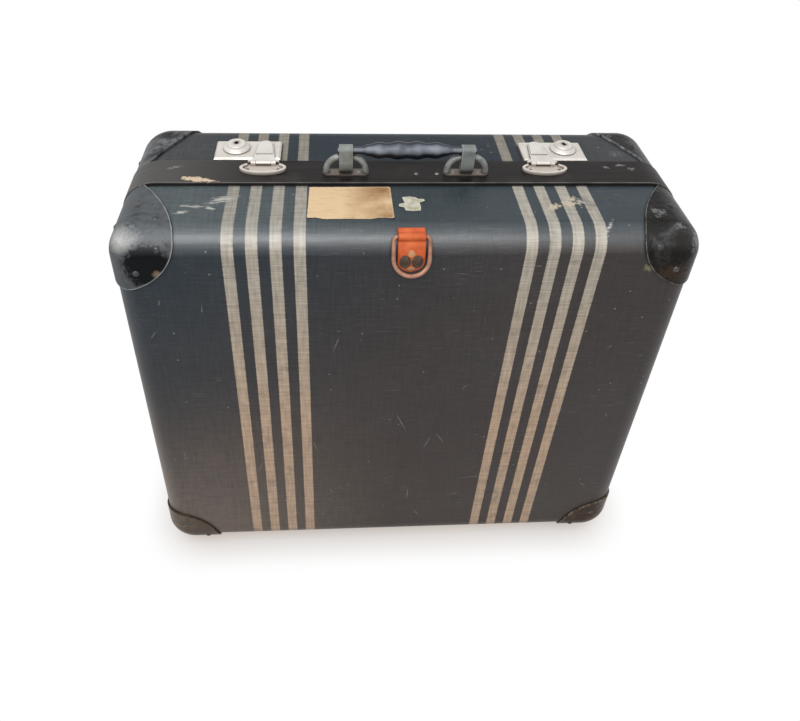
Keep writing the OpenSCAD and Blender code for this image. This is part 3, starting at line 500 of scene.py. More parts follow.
# The hinges. Two strap hinges of dull steel under the bottom, each with two leaves on a pin,
# riveted through the walls of both halves.
def old_metal(name, clean, stained, shine, rough, patch, dirt=None, floor=None, marks=(), **sockets):
    """Metal with stains: two colours, metallic, a roughness range and the stains' size in mm.

    dirt is a colour that ambient occlusion paints into its corners and round parts near it, as
    grime and painted shade, and how many mm it reaches out of them; floor is the colour of the
    parts below a height in mm; marks are places painted black.
    """
    made, tree, shader, place = finish(name, Metallic=shine, **sockets)
    spots = node(
        tree,
        "ShaderNodeTexNoise",
        {"Vector": place, "Scale": 1 / (patch * mm), "Detail": 6.0, "Roughness": 0.62},
    )
    tone = node(tree, "ShaderNodeMapRange", {0: spots, 1: 0.42, 2: 0.72})
    layers = [(tone, stained)]
    if floor:
        colour, level = floor
        up = node(tree, "ShaderNodeSeparateXYZ", {0: place}).outputs["Z"]
        under = {0: up, 1: (level + 0.5) * mm, 2: level * mm, 4: 0.85}
        layers.append((node(tree, "ShaderNodeMapRange", under), colour))
    if dirt:
        colour, reach = dirt
        # painted shade: ambient occlusion darkens the corners and the places next to other parts
        corner = node(tree, "ShaderNodeAmbientOcclusion", {"Distance": reach * mm}, samples=8)
        corner = {0: corner.outputs["AO"], 1: 0.9, 2: 0.4, 4: 0.9}
        layers.append((node(tree, "ShaderNodeMapRange", corner), colour))
    # painted shade: marks are painted near black, as dark openings
    if marks:
        layers.append((rubbed(tree, place, marks, 0.2), "#0b0908"))
    skin = ink(clean)
    for mask, paint in layers:
        mixed = node(tree, "ShaderNodeMix", {0: mask, 6: skin, 7: ink(paint)}, data_type="RGBA")
        skin = mixed.outputs[2]
    dressed(tree, shader, skin, spots, 0.12, 0.4, (tone, 0, 1, *rough))
    return made


# rolled steel: a dull grey shine under brown stains
coat(
    old_metal("dull_strap_steel", "#8f8a82", "#5d5148", 0.9, (0.38, 0.62), 9),
    "base_hinge_leaf_left",
    "base_hinge_leaf_right",
    "lid_hinge_leaf_left",
    "lid_hinge_leaf_right",
    "hinge_pins",
    "base_hinge_rivets",
    "lid_hinge_rivets",
)


# The corner caps. Each is a lobed cup of black vulcanised fibre pressed over a corner and
# riveted down. The paint is rubbed grey on the bulges, and the cut edge shows as a pale line; the
# bright crown of the top left cap is a painted highlight, and the edge of the bottom left cap is
# painted dark as shade.
lid_y = corners("lid_shell")[0][1]
side_x = {"left": -half_w, "right": half_w}
level_z = {"top": top_z, "bottom": foot_z}
# where the lobes of each half start and end along Y, and their radius as a polynomial of the way
lobes = {"base": (band_y, front_y, (24, 75, -32)), "lid": (lid_y, lid_y + 91.5, (20, 49, 0))}


def cap_finish(piece, name, fibre, rub, share, edge, sheen=0.12, even=0.1, marks=()):
    """Finishes one cap: its fibre's colours, how much is rubbed, and the colour of its cut edge.

    sheen is how polished the rounded edge is, even how little the rubbed patches are mottled, and
    each mark is a colour with its places, how ragged they are and their core.
    """
    half, _, level, side = piece.split("_")
    made, tree, shader, place = finish(name)
    _, y, z = node(tree, "ShaderNodeSeparateXYZ", {0: place}).outputs
    # how many mm the surface lies inside the edge of the lobe
    corner = Vector((side_x[side], 0, level_z[level])) * mm
    away = node(tree, "ShaderNodeVectorMath", {0: place, 1: corner}, operation="SUBTRACT")
    away = node(tree, "ShaderNodeVectorMath", {0: away, 1: (1 / mm, 0, 1 / mm)}, operation="MULTIPLY")
    away = node(tree, "ShaderNodeVectorMath", {0: away}, operation="LENGTH").outputs["Value"]
    start, end, (first, slope, bend) = lobes[half]
    way = node(tree, "ShaderNodeMapRange", {0: y, 1: start * mm, 2: end * mm})
    reach = node(tree, "ShaderNodeMath", {0: way, 1: bend, 2: slope}, operation="MULTIPLY_ADD")
    reach = node(tree, "ShaderNodeMath", {0: way, 1: reach, 2: first}, operation="MULTIPLY_ADD")
    inset = node(tree, "ShaderNodeMath", {0: reach, 1: away}, operation="SUBTRACT")
    # rubbed patches about 26 mm across with a finer mottle in them, over creased fibre
    rubs = node(
        tree,
        "ShaderNodeTexNoise",
        {"Vector": place, "Scale": 38.0, "Detail": 7.0, "Roughness": 0.66, "Distortion": 0.6},
    )
    worn = node(tree, "ShaderNodeMapRange", {0: rubs, 1: 0.62 - share * 0.4, 2: 0.8 - share * 0.4})
    mottle = node(tree, "ShaderNodeTexNoise", {"Vector": place, "Scale": 150.0, "Detail": 6.0})
    mottle = node(tree, "ShaderNodeMapRange", {0: mottle, 1: 0.35, 2: 0.68, 3: even, 4: 1.0})
    amount = node(tree, "ShaderNodeMath", {0: worn, 1: mottle}, operation="MULTIPLY")
    cut = node(tree, "ShaderNodeMapRange", {0: inset, 1: 1.3, 2: 0.6})
    cut = node(tree, "ShaderNodeMath", {0: cut, 1: mottle}, operation="MULTIPLY")
    patches = [
        (rubbed(tree, place, places, ragged, core=core), colour)
        for colour, places, ragged, core in marks
    ]
    skin = ink(fibre)
    for mask, paint in ((amount, rub), *patches, (cut, edge)):
        mixed = node(tree, "ShaderNodeMix", {0: mask, 6: skin, 7: ink(paint)}, data_type="RGBA")
        skin = mixed.outputs[2]
    lustre = {0: front_edge(tree, y, z, 22, 12), 3: 0.1, 4: sheen}
    lustre = node(tree, "ShaderNodeMapRange", lustre)
    tree.links.new(lustre.outputs[0], shader.inputs["Specular IOR Level"])
    creases = {"Vector": place, "Scale": 60.0, "Detail": 4.0, "Distortion": 2.0}
    creases = node(tree, "ShaderNodeTexNoise", creases)
    creases = node(tree, "ShaderNodeMath", {0: creases, 1: rubs}, operation="ADD")
    dressed(tree, shader, skin, creases, 0.5, 1.6, (amount, 0, 1, 0.3, 0.55))
    coat(made, piece)


# painted highlight: the pale crown on the top left cap's bulge, where light glints
crown_highlight = [((-286, -98, 509), (24, 22, 13), (0, -8, 0))]
black_lobe = [((-260, -114, 485), (27, 19, 30), (0, -16, 0))]
tan_spot = [((-252, -110, 475), (6, 12, 6), flat)]
cap_finish(
    "base_cap_top_left",
    "grey_rubbed_fibre",
    "#2b2d30",
    "#5f6264",
    0.85,
    "#a9abac",
    sheen=0.55,
    even=0.55,
    marks=[
        ("#c2c0bc", crown_highlight, 0.2, 0.0),
        ("#030509", black_lobe, 0.2, 0.8),
        ("#857260", tan_spot, 0.3, 0.3),
    ],
)
brown_lobe = [((272, -110, 472), (28, 14, 16), flat)]
knocks = [
    ((256, -70, 522), (8, 5.5, 8), (0, 0, -30)),
    ((272, -92, 520), (7, 4, 7), flat),
    ((290, -96, 500), (6, 10, 12), flat),
]
cap_finish(
    "base_cap_top_right",
    "black_rubbed_fibre",
    "#14110f",
    "#5b5958",
    0.2,
    "#8a8884",
    sheen=0.34,
    marks=[("#3a2a20", brown_lobe, 0.6, 0.3), ("#6f6d6b", knocks, 1.1, 0.3)],
)
# painted light and shade: the bottom left cap is lighter, as light from the left, over dust; its edge
# is painted dark as the shadow gap round it
cap_finish("base_cap_bottom_left", "dusty_lit_fibre_left", "#5d5045", "#8a7967", 0.36, "#2a221d")
cap_finish("base_cap_bottom_right", "dusty_fibre_right", "#3c291c", "#6f5339", 0.24, "#8d8176")
for level, fibre in (("top", "#111113"), ("bottom", "#2e2723")):
    for side, *wear in (("left", "#8f9193", 0.6, "#66676a"), ("right", "#2c2929", 0.12, "#a3a2a2")):
        cap_finish(f"lid_cap_{level}_{side}", f"lid_fibre_{level}_{side}", fibre, *wear)

# The cap rivets and foot studs. Domed steel rivets, blacked with the caps and polished again by
# use; four flat steel studs under the bottom caps carry the case.
# blacked steel: nearly black, with a soft glint; the studs are bare steel, grey and stained
coat(
    old_metal("blacked_rivet_steel", "#4c4b4b", "#1f1e1d", 0.6, (0.3, 0.5), 5),
    "base_cap_rivets",
    "lid_cap_rivets",
)
coat(
    old_metal("worn_stud_steel", "#8a857d", "#544b43", 0.9, (0.32, 0.6), 6),
    "base_foot_studs",
    "lid_foot_studs",
)


# The handle. Two arches of dull steel rod stand on stadium-shaped plates; a leather strap looped
# round each rod holds the neck of a moulded grip with four finger waves.
plate_z = 525.2
# drawn steel gone grey: nearly matt, darkened in its corners as dirt and painted shade, and brown on
# its plates
rod_grime_and_shade = ("#2a2522", 5)
coat(
    old_metal(
        "grey_rod_steel",
        "#969995",
        "#68635d",
        0.25,
        (0.45, 0.62),
        8,
        rod_grime_and_shade,
        ("#75655a", plate_z),
        Specular_IOR_Level=0.3,
    ),
    "handle_ring_left",
    "handle_ring_right",
)
coat(
    old_metal("small_rivet_steel", "#98958f", "#5e564f", 0.6, (0.36, 0.55), 5),
    "handle_ring_rivets",
    "band_rivets",
)


def strap_on_path():
    """Node tree that sweeps a strap with rounded edges along a polyline in a plane across X.

    Each point of the polyline has `narrow`, the share of the full width that the strap has there.
    """
    tree = bpy.data.node_groups.new("strap_on_path", "GeometryNodeTree")
    for name, kind in (
        ("Path", "NodeSocketGeometry"),
        ("Width", "NodeSocketFloat"),
        ("Thickness", "NodeSocketFloat"),
        ("Middle", "NodeSocketFloat"),
        ("Leather", "NodeSocketMaterial"),
    ):
        tree.interface.new_socket(name, in_out="INPUT", socket_type=kind)
    tree.interface.new_socket("Strap", in_out="OUTPUT", socket_type="NodeSocketGeometry")
    path, width, thickness, middle, leather, _ = node(tree, "NodeGroupInput").outputs
    path = node(tree, "GeometryNodeMeshToCurve", {"Mesh": path})
    section = node(tree, "GeometryNodeCurvePrimitiveQuadrilateral", {0: width, 1: thickness})
    edge = node(tree, "ShaderNodeMath", {0: thickness, 1: 0.36}, operation="MULTIPLY")
    section = node(
        tree, "GeometryNodeFilletCurve", {"Curve": section, "Radius": edge, "Count": 3}, mode="POLY"
    )
    strap = {"Curve": path, "Profile Curve": section, "Fill Caps": True}
    strap = node(tree, "GeometryNodeCurveToMesh", strap)
    share = node(tree, "GeometryNodeInputNamedAttribute", {"Name": "narrow"}, data_type="FLOAT")
    spot = node(tree, "ShaderNodeSeparateXYZ", {0: node(tree, "GeometryNodeInputPosition")})
    across = {0: spot.outputs["X"], 1: middle}
    across = node(tree, "ShaderNodeMath", across, operation="SUBTRACT")
    less = node(tree, "ShaderNodeMath", {0: share, 1: 1.0}, operation="SUBTRACT")
    shift = node(tree, "ShaderNodeMath", {0: across, 1: less}, operation="MULTIPLY")
    shift = node(tree, "ShaderNodeCombineXYZ", {"X": shift})
    strap = node(tree, "GeometryNodeSetPosition", {"Geometry": strap, "Offset": shift})
    strap = node(tree, "GeometryNodeSetShadeSmooth", {"Geometry": strap})
    strap = node(tree, "GeometryNodeRealizeInstances", {"Geometry": strap})
    strap = node(tree, "GeometryNodeSetMaterial", {"Geometry": strap, "Material": leather})
    node(tree, "NodeGroupOutput", {0: strap})
    return tree


def swept(tree, points, closed, **sizes):
    """Plain mesh that a node tree makes along a polyline of (x, y, z, narrow) in mm."""
    path = bpy.data.meshes.new("path")
    edges = [(i, i + 1) for i in range(len(points) - 1)]
    if closed:
        edges.append((len(points) - 1, 0))
    path.from_pydata([Vector(p[:3]) * mm for p in points], edges, [])
    share = path.attributes.new("narrow", "FLOAT", "POINT")
    share.data.foreach_set("value", [p[3] for p in points])
    drawn = bpy.data.objects.new("path", path)
    bpy.context.scene.collection.objects.link(drawn)
    grow = drawn.modifiers.new("grow", "NODES")
    grow.node_group = tree
    for item in tree.interface.items_tree:
        if item.in_out == "INPUT" and item.name in sizes:
            grow[item.identifier] = sizes[item.name]
    graph = bpy.context.evaluated_depsgraph_get()
    mesh = bpy.data.meshes.new_from_object(drawn.evaluated_get(graph))
    bpy.data.objects.remove(drawn)
    bpy.data.meshes.remove(path)
    return mesh


def settled(name, mesh, body, slot, *nodes):
    """Plain piece from a mesh: faces turned outwards, riding on a body instead of CAD nodes."""
    shape = bmesh.new()
    shape.from_mesh(mesh)
    bmesh.ops.recalc_face_normals(shape, faces=shape.faces)
    shape.to_mesh(mesh)
    shape.free()
    piece = bpy.data.objects.new(name, mesh)
    bpy.context.scene.collection.objects.link(piece)
    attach(piece, body)
    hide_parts(*nodes)


rod_r = 3.4
ring_low, ring_high = corners("handle_ring_right")
ring_x = (ring_low[0] + ring_high[0]) / 2
ring_y = (ring_low[1] + ring_high[1]) / 2
rod_z = ring_high[2] - rod_r
loop_w, loop_t = 14.5, 2
# waxed strap leather: fine pores and a soft sheen, paler where the sides are cut
loop_leather, tree, shader, place = finish("grey_green_strap_leather", Specular_IOR_Level=0.4)
x, _, z = node(tree, "ShaderNodeSeparateXYZ", {0: place}).outputs
side = node(tree, "ShaderNodeMath", {0: x}, operation="ABSOLUTE")
side = node(tree, "ShaderNodeMath", {0: side, 1: ring_x * mm}, operation="SUBTRACT")
side = node(tree, "ShaderNodeMath", {0: side}, operation="ABSOLUTE")
rim = {0: side, 1: (loop_w / 2 - 1.2) * mm, 2: (loop_w / 2 - 0.4) * mm, 4: 0.55}
rim = node(tree, "ShaderNodeMapRange", rim)
pores = node(tree, "ShaderNodeTexVoronoi", {"Vector": place, "Scale": 700.0})
wear = node(tree, "ShaderNodeTexNoise", {"Vector": place, "Scale": 70.0, "Detail": 5.0})
tone = node(tree, "ShaderNodeMapRange", {0: wear, 1: 0.3, 2: 0.7})
# the slack end below the rod is darker
slack = node(tree, "ShaderNodeMapRange", {0: z, 1: (rod_z - 4) * mm, 2: (rod_z - 14) * mm, 4: 0.8})
hide = ink("#6c716d")
for mask, paint in ((tone, "#979b96"), (rim, "#a9a99f"), (slack, "#454640")):
    mixed = node(tree, "ShaderNodeMix", {0: mask, 6: hide, 7: ink(paint)}, data_type="RGBA")
    hide = mixed.outputs[2]
dressed(tree, shader, hide, pores.outputs["Distance"], 0.3, 0.4, (wear, 0.3, 0.7, 0.42, 0.6))
# the strap runs over the neck of the grip and hangs slack below the rod, drawn in a little
loop_r, drawn_in = 5.3, 0.45
loop_top, loop_foot = rod_z + 7.7, rod_z - 11.6
half_steps, leg_steps = 30, 8
arcs = []
for part in range(2 * half_steps):
    turn = math.pi * part / half_steps
    reach = loop_r - drawn_in * (1 - abs(math.sin(turn))) ** 2
    middle_z = loop_top if part <= half_steps else loop_foot
    arcs.append((ring_y + reach * math.cos(turn), middle_z + loop_r * math.sin(turn)))
leg_reach = loop_r - drawn_in
legs = [loop_foot + (loop_top - loop_foot) * step / leg_steps for step in range(1, leg_steps)]
loop_path = (
    arcs[: half_steps + 1]
    + [(ring_y - leg_reach, leg_z) for leg_z in reversed(legs)]
    + arcs[half_steps + 1 :]
    + [(ring_y + leg_reach, leg_z) for leg_z in legs]
)
strap_tree = strap_on_path()
for side_name, middle in (("left", -ring_x), ("right", ring_x)):
    settled(
        f"handle_strap_{side_name}",
        swept(
            strap_tree,
            [(middle, *point, 1) for point in loop_path],
            True,
            Width=loop_w * mm,
            Thickness=loop_t * mm,
            Middle=middle * mm,
            Leather=loop_leather,
        ),
        "handle",
        "loop_leather",
        f"handle_loop_{side_name}",
    )

# moulded skin with pressed pores: dark and satin, with a painted highlight, pale grey and patchy,
# on its upper front side
grip_skin, tree, shader, place = finish("moulded_grip_skin", Specular_IOR_Level=0.3)
pores = node(tree, "ShaderNodeTexVoronoi", {"Vector": place, "Scale": 600.0})
wear = node(tree, "ShaderNodeTexNoise", {"Vector": place, "Scale": 55.0, "Detail": 5.0})
tone = node(tree, "ShaderNodeMapRange", {0: wear, 1: 0.35, 2: 0.75})
upper_front = (0, -0.8, 0.6)
grip_highlight = {0: node(tree, "ShaderNodeTexCoord").outputs["Normal"], 1: upper_front}
grip_highlight = node(tree, "ShaderNodeVectorMath", grip_highlight, operation="DOT_PRODUCT").outputs["Value"]
grip_highlight = node(tree, "ShaderNodeMapRange", {0: grip_highlight, 1: 0.72, 2: 0.97})
patchy = node(tree, "ShaderNodeMapRange", {0: wear, 1: 0.3, 2: 0.62, 3: 0.3, 4: 0.9})
grip_highlight = node(tree, "ShaderNodeMath", {0: grip_highlight, 1: patchy}, operation="MULTIPLY")
skin = ink("#10131a")
for mask, paint in ((tone, "#262b34"), (grip_highlight, "#90969e")):
    mixed = node(tree, "ShaderNodeMix", {0: mask, 6: skin, 7: ink(paint)}, data_type="RGBA")
    skin = mixed.outputs[2]
dressed(tree, shader, skin, pores.outputs["Distance"], 0.2, 0.4, (wear, 0.3, 0.7, 0.3, 0.45))
coat(grip_skin, "handle_grip")


# The locks. Nickelled steel plates on the back half with a sliding button and a key plug; a
# flared hasp on the front half swings over each plate from an oval dish.
dish_z = 525.2
# nickel on steel: pale and warm, with a soft shine, and brown in the corners and round the parts on
# it, as grime and painted shade
grime_and_shade = ("#5f5044", 4)
coat(
    old_metal("yellowed_nickel", "#e2dcd3", "#cdc4b8", 0.4, (0.36, 0.5), 22, grime_and_shade),
    "lock_plate_left",
    "lock_plate_right",
    "lock_button_left",
    "lock_button_right",
)
coat(
    old_metal("rubbed_hasp_nickel", "#e6e1d9", "#d2c9be", 0.4, (0.34, 0.46), 22, grime_and_shade),
    "hasp_left",
    "hasp_right",
)
# the dish's recess is a darker tan, partly painted shade
dish_floor = ("#cbbdb0", dish_z)
coat(
    old_metal("dish_nickel", "#dfd8ce", "#cbc0b5", 0.35, (0.36, 0.5), 22, grime_and_shade, dish_floor),
    "hasp_base_left",
    "hasp_base_right",
)
# painted shade: each plug is painted black round its keyhole, as its dark opening, and is darkened
# in its corners
plug_grime_and_shade = ("#1d1613", 2.5)
keyhole_shade_marks = []
for side_name in ("left", "right"):
    middle = [(a + b) / 2 for a, b in zip(*corners(f"key_plug_{side_name}"))]
    keyhole_shade_marks.append((middle, (3.2, 3.8, 20), flat))
coat(
    old_metal(
        "worn_plug_nickel", "#cfc7bd", "#8f8479", 0.5, (0.34, 0.5), 4, plug_grime_and_shade, marks=keyhole_shade_marks
    ),
    "key_plug_left",
    "key_plug_right",
    "hasp_pins",
)
# bare steel gone brown on the rivets, and tempered to a smooth blue grey on the springs
coat(
    old_metal("brown_rivet_steel", "#7d7066", "#40352e", 0.8, (0.35, 0.6), 4),
    "hasp_base_rivets",
)
coat(
    old_metal("blued_spring_steel", "#8e8f94", "#565b66", 0.95, (0.25, 0.4), 5),
    "lock_spring_left",
    "lock_spring_right",
)


# The tag. A strap of orange leather folded round the bar of a coppered ring and riveted to the
# front with two broad dark rivets.
tag_low, tag_high = corners("tag_tab")
tag_x = (tag_low[0] + tag_high[0]) / 2
tag_w = tag_high[0] - tag_low[0]
tag_t = 1.6
tag_end_z = tag_low[2] + tag_w / 2
# dyed strap leather: bright, with fine pores, bald where the ring has rubbed and dark at its cut
# sides
tag_leather, tree, shader, place = finish("orange_strap_leather", Specular_IOR_Level=0.35)
wear = node(tree, "ShaderNodeTexNoise", {"Vector": place, "Scale": 90.0, "Detail": 5.0})
pores = node(tree, "ShaderNodeTexVoronoi", {"Vector": place, "Scale": 800.0})
tone = node(tree, "ShaderNodeMapRange", {0: wear, 1: 0.3, 2: 0.72})
bald_spots = [((tag_x, -110, 500), (3.6, 12, 4.2), flat), ((tag_x, -110, 481.5), (4.2, 12, 3.2), flat)]
bald = rubbed(tree, place, bald_spots, 0.25)
x, _, _ = node(tree, "ShaderNodeSeparateXYZ", {0: place}).outputs
side = node(tree, "ShaderNodeMath", {0: x, 1: tag_x * mm}, operation="SUBTRACT")
side = node(tree, "ShaderNodeMath", {0: side}, operation="ABSOLUTE")
side = {0: side, 1: (tag_w / 2 - 1.4) * mm, 2: (tag_w / 2 - 0.3) * mm, 4: 0.7}
side = node(tree, "ShaderNodeMapRange", side)
hide = ink("#c4522a")
for mask, paint in ((tone, "#e0733d"), (bald, "#cf9a72"), (side, "#8a3517")):
    mixed = node(tree, "ShaderNodeMix", {0: mask, 6: hide, 7: ink(paint)}, data_type="RGBA")
    hide = mixed.outputs[2]
dressed(tree, shader, hide, pores.outputs["Distance"], 0.25, 0.3, (wear, 0.3, 0.7, 0.42, 0.6))
# the strap starts under its own front, folds back near the top wall, passes over the ring's bar at
# 45 degrees on the rounded edge, and ends in a half circle
edge_r = 26
edge_y = front_y + edge_r
edge_z = top_z - edge_r
under, over = 26.9, 28.8
tag_fold = 28


def on_edge(radius, turn):
    """Place across the rounded front top edge: radius in mm and turn in degrees from the top."""
    turn = math.radians(turn)
    return edge_y - radius * math.sin(turn), edge_z + radius * math.cos(turn)


tag_path = []
for turn in range(84, -1, -12):
    turn = math.radians(turn)
    tag_path.append((edge_y - under, tag_end_z - tag_w / 2 * math.sin(turn), math.cos(turn)))
for turn in range(90, tag_fold - 1, -2):
    tag_path.append((*on_edge(under, turn), 1))
fold_y, fold_z = on_edge((under + over) / 2, tag_fold)
fold_r = (over - under) / 2
for turn in range(-60, 61, 30):
    turn = math.radians(turn - tag_fold)
    tag_path.append((fold_y + fold_r * math.cos(turn), fold_z + fold_r * math.sin(turn), 1))
for turn in range(tag_fold, 35, 2):
    tag_path.append((*on_edge(over, turn), 1))
# the hump over the bar: how far along the edge, and how far above the strap's own radius
hump_r, hump_rise = 3.45, 1.6
hump_foot = [(4.7, 0.2), (4, 0.9), (3.5, 1.7)]
hump = [(-along, rise) for along, rise in hump_foot]
for turn in range(160, 19, -14):
    turn = math.radians(turn)
    hump.append((hump_r * math.cos(turn), hump_rise + hump_r * math.sin(turn)))
hump += reversed(hump_foot)
slant = math.sqrt(0.5)
for along, rise in hump:
    # the strap lies on a round edge, which falls away on both sides of the bar
    rise = over + rise - along**2 / (2 * over)
    tag_path.append((edge_y - (rise + along) * slant, edge_z + (rise - along) * slant, 1))
for turn in range(56, 91, 2):
    tag_path.append((*on_edge(over, turn), 1))
for turn in range(0, 85, 12):
    turn = math.radians(turn)
    tag_path.append((edge_y - over, tag_end_z - tag_w / 2 * math.sin(turn), math.cos(turn)))
settled(
    "tag_strap",
    swept(
        strap_tree,
        [(tag_x, *point) for point in tag_path],
        False,
        Width=tag_w * mm,
        Thickness=tag_t * mm,
        Middle=tag_x * mm,
        Leather=tag_leather,
    ),
    "base",
    "tag_leather",
    "tag_tab",
)

# two broad oval rivet heads: a flat rim, a groove and a low dome, each ring a share and a height
oval_x, oval_z = 6.2, tag_end_z - 1
oval_half_w, oval_half_h = 5.8, 7.8
oval_gap = 0.03
oval_steps = 40
oval_rings = [(1, 0), (1, 0.35), (0.95, 0.55), (0.86, 0.55), (0.82, 0.8), (0.6, 1.3), (0.3, 1.6)]
oval_points = []
oval_faces = []
for centre_x in (tag_x - oval_x, tag_x + oval_x):
    first = len(oval_points)
    for share, high in oval_rings:
        for step in range(oval_steps):
            turn = 2 * math.pi * step / oval_steps
            x = centre_x + oval_half_w * share * math.cos(turn)
            z = oval_z + oval_half_h * share * math.sin(turn)
            seat = math.sqrt((over + tag_t / 2) ** 2 - max(0, z - edge_z) ** 2)
            oval_points.append(Vector((x, edge_y - seat - oval_gap - high, z)) * mm)
    for ring in range(len(oval_rings) - 1):
        for step in range(oval_steps):
            a = first + ring * oval_steps + step
            b = first + ring * oval_steps + (step + 1) % oval_steps
            oval_faces.append((a, b, b + oval_steps, a + oval_steps))
    last = first + (len(oval_rings) - 1) * oval_steps
    oval_faces.append(range(first, first + oval_steps))
    oval_faces.append(range(last, last + oval_steps))
ovals = bpy.data.meshes.new("tag_oval_rivets")
ovals.from_pydata(oval_points, [], oval_faces)
ovals.shade_smooth()
sharp = math.radians(40)
ovals.set_sharp_from_angle(angle=sharp)
# browned steel, dark and dull; the ring is coppered steel wire, a dull pinkish brown
ovals.materials.append(old_metal("dark_tag_rivet", "#5a4839", "#382c24", 0.4, (0.42, 0.62), 4))
settled("tag_oval_rivets", ovals, "base", "tag_rivet_metal", "tag_rivets")
# the ring is darkened in its corners, as grime and painted shade
coat(
    old_metal("coppered_wire", "#b5836a", "#8a6252", 0.3, (0.42, 0.6), 7, ("#4a2f25", 4)),
    "tag_ring",
)


# The papers. A tan label with a torn lower edge and a small pale scrap, both pasted on the top.
# Their borders are frayed, and the loose corners have lifted a little.
def torn_sheet(outline, ragged, lifted, seed):
    """Mesh of a thin sheet: outline in mm, its fraying, and (corner, reach, rise) lifts.

    Its attribute `border` runs from 1 on the outline to 0 four millimetres inside.
    """
    thickness, border_w, border_step, inner_step = 0.3, 4, 1.1, 2
    chance = random.Random(seed)
    border = []
    for (x0, y0), (x1, y1) in zip(outline, outline[1:] + outline[:1]):
        steps = max(1, round(math.hypot(x1 - x0, y1 - y0) / border_step))
        for step in range(steps):
            x = x0 + (x1 - x0) * step / steps + chance.uniform(-ragged, ragged)
            y = y0 + (y1 - y0) * step / steps + chance.uniform(-ragged, ragged)
            border.append(Vector((x, y)))
    loop = [(i, (i + 1) % len(border)) for i in range(len(border))]
    inner = []
    xs = [p.x for p in border]
    ys = [p.y for p in border]
    for column in range(1, int((max(xs) - min(xs)) / inner_step)):
        for row in range(1, int((max(ys) - min(ys)) / inner_step)):
            spot = Vector((min(xs) + inner_step * column, min(ys) + inner_step * row))
            if min((spot - p).length for p in border) > inner_step / 2:
                inner.append(spot)
    flat_points, _, triangles, *_ = delaunay_2d_cdt(border + inner, loop, [], 1, 1e-4)
    used = sorted({i for face in triangles for i in face})
    number = {old: new for new, old in enumerate(used)}
    points = [flat_points[i] for i in used]
    triangles = [[number[i] for i in face] for face in triangles]
    # the sheet cockles by fractions of a millimetre, on a film of paste
    paste, lowest = 0.02, 0.05
    middle_rise, cockle, ripple = 0.22, 0.16, 9
    upper = []
    lower = []
    rims = []
    for p in points:
        rise = middle_rise + cockle * noise(Vector((p.x / ripple, p.y / ripple, seed)))
        for (x, y), reach, high in lifted:
            rise += high * max(0, 1 - math.hypot(p.x - x, p.y - y) / reach) ** 2
        z = top_z + paste + max(lowest, rise)
        upper.append(Vector((p.x, p.y, z + thickness)) * mm)
        lower.append(Vector((p.x, p.y, z)) * mm)
        rims.append(max(0, 1 - min((p - q).length for q in border) / border_w))
    count = len(points)
    sides = {}
    for face in triangles:
        for a, b in zip(face, face[1:] + face[:1]):
            if (b, a) in sides:
                del sides[(b, a)]
            else:
                sides[(a, b)] = (a, a + count, b + count, b)
    faces = triangles + [[i + count for i in reversed(face)] for face in triangles]
    mesh = bpy.data.meshes.new("torn_sheet")
    mesh.from_pydata(upper + lower, [], faces + list(sides.values()))
    mesh.attributes.new("border", "FLOAT", "POINT").data.foreach_set("value", rims * 2)
    mesh.shade_smooth()
    mesh.set_sharp_from_angle(angle=sharp)
    return mesh


# rag paper: matt, browner to the right, with fine brown strands along the sheet
label_x, label_y, _ = corners("paper_label")[0]
label_paper, tree, shader, place = finish("tan_label_paper", Specular_IOR_Level=0.2, Roughness=0.75)
x, _, _ = node(tree, "ShaderNodeSeparateXYZ", {0: place}).outputs
stain = node(tree, "ShaderNodeTexNoise", {"Vector": place, "Scale": 32.0, "Detail": 6.0})
soak = node(tree, "ShaderNodeMapRange", {0: stain, 1: 0.25, 2: 0.58})
right = node(tree, "ShaderNodeMapRange", {0: x, 1: (label_x + 36) * mm, 2: (label_x + 78) * mm})
soak = node(tree, "ShaderNodeMath", {0: soak, 1: right}, operation="MULTIPLY")
strands = threads(tree, place, (70, 620, 620), 3.0)
strand = node(tree, "ShaderNodeMapRange", {0: strands, 1: 0.58, 2: 0.74, 4: 0.55})
border = node(tree, "ShaderNodeAttribute", attribute_name="border").outputs["Fac"]
worn = node(tree, "ShaderNodeMapRange", {0: border, 1: 0.55, 2: 1.0, 4: 0.7})
sheet = ink("#e9c89d")
for mask, paint in ((soak, "#a2764d"), (strand, "#96693f"), (worn, "#e6c8a4")):
    mixed = node(tree, "ShaderNodeMix", {0: mask, 6: sheet, 7: ink(paint)}, data_type="RGBA")
    sheet = mixed.outputs[2]
dressed(tree, shader, sheet, strands, 0.12, 0.3)
label_edge = [
    (0.2, 4), (0.6, 1.7), (8.8, 3.1), (14.1, 1.2), (17.6, 0.3), (38.7, 0.8), (63.4, 0.3),
    (72.2, 2.5), (79.2, 2.9), (85.4, 0.6), (87.7, 1.4), (87.1, 57.9), (84.9, 59.7), (1.7, 59.3),
]
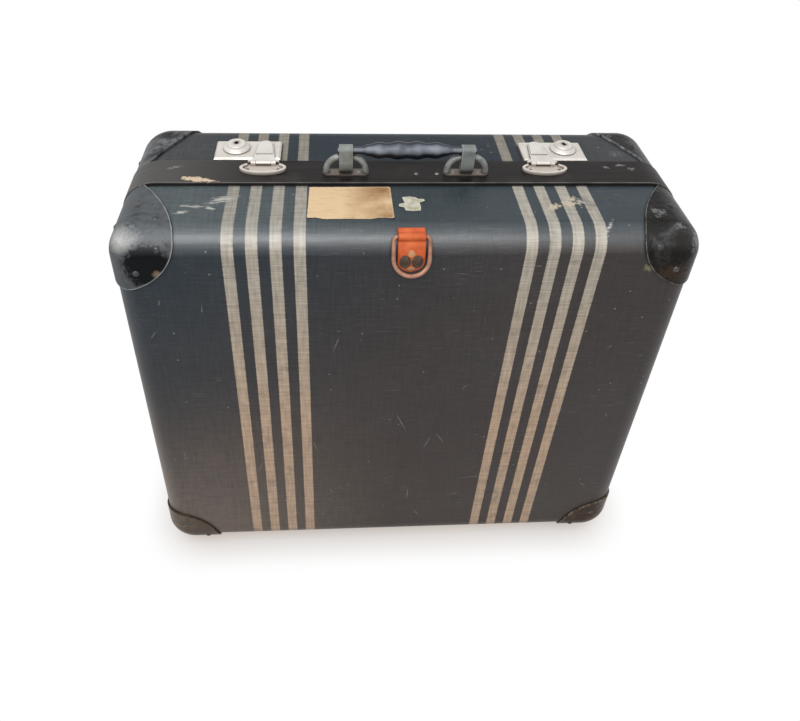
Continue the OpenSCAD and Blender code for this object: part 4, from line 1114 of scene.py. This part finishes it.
label_lifts = [((87.5, 1), 9, 0.9), ((1, 2), 8, 0.6), ((86, 59), 7, 0.5)]
label = torn_sheet(
    [(label_x + x, label_y + y) for x, y in label_edge],
    ragged=0.22,
    lifted=[((label_x + x, label_y + y), reach, high) for (x, y), reach, high in label_lifts],
    seed=11,
)
label.materials.append(label_paper)
settled("torn_label", label, "base", "paper", "paper_label")

# wood-pulp paper: pale, matt and mottled
scrap_low, _ = corners("paper_scrap")
scrap_x, scrap_y = scrap_low[0] + 15, scrap_low[1] + 14
scrap_paper, tree, shader, place = finish("pale_scrap_paper", Specular_IOR_Level=0.2, Roughness=0.8)
stain = node(tree, "ShaderNodeTexNoise", {"Vector": place, "Scale": 140.0, "Detail": 5.0})
tone = node(tree, "ShaderNodeMapRange", {0: stain, 1: 0.35, 2: 0.65})
border = node(tree, "ShaderNodeAttribute", attribute_name="border").outputs["Fac"]
worn = node(tree, "ShaderNodeMapRange", {0: border, 1: 0.5, 2: 1.0, 4: 0.8})
sheet = ink("#b3ad95")
for mask, paint in ((tone, "#d8d3bd"), (worn, "#dcd8c6")):
    mixed = node(tree, "ShaderNodeMix", {0: mask, 6: sheet, 7: ink(paint)}, data_type="RGBA")
    sheet = mixed.outputs[2]
dressed(tree, shader, sheet, stain, 0.3, 0.4)
scrap_edge = [
    (-9.7, 11.7), (-2, 12.7), (3.8, 11.7), (6.9, 8.8), (12.7, 7.7), (13.1, 4.2), (7.6, 2.2),
    (8.6, -6), (7.7, -12.7), (0, -13.6), (-7.7, -12.7), (-8.8, -6.8), (-14.6, -5.8),
    (-13.7, -1.3), (-7.8, 0.9),
]
scrap_lifts = [((13, 6), 6, 0.8), ((-14, -4), 6, 0.9)]
scrap = torn_sheet(
    [(scrap_x + x, scrap_y + y) for x, y in scrap_edge],
    ragged=0.3,
    lifted=[((scrap_x + x, scrap_y + y), reach, high) for (x, y), reach, high in scrap_lifts],
    seed=12,
)
scrap.materials.append(scrap_paper)
settled("torn_scrap", scrap, "base", "paper", "paper_scrap")
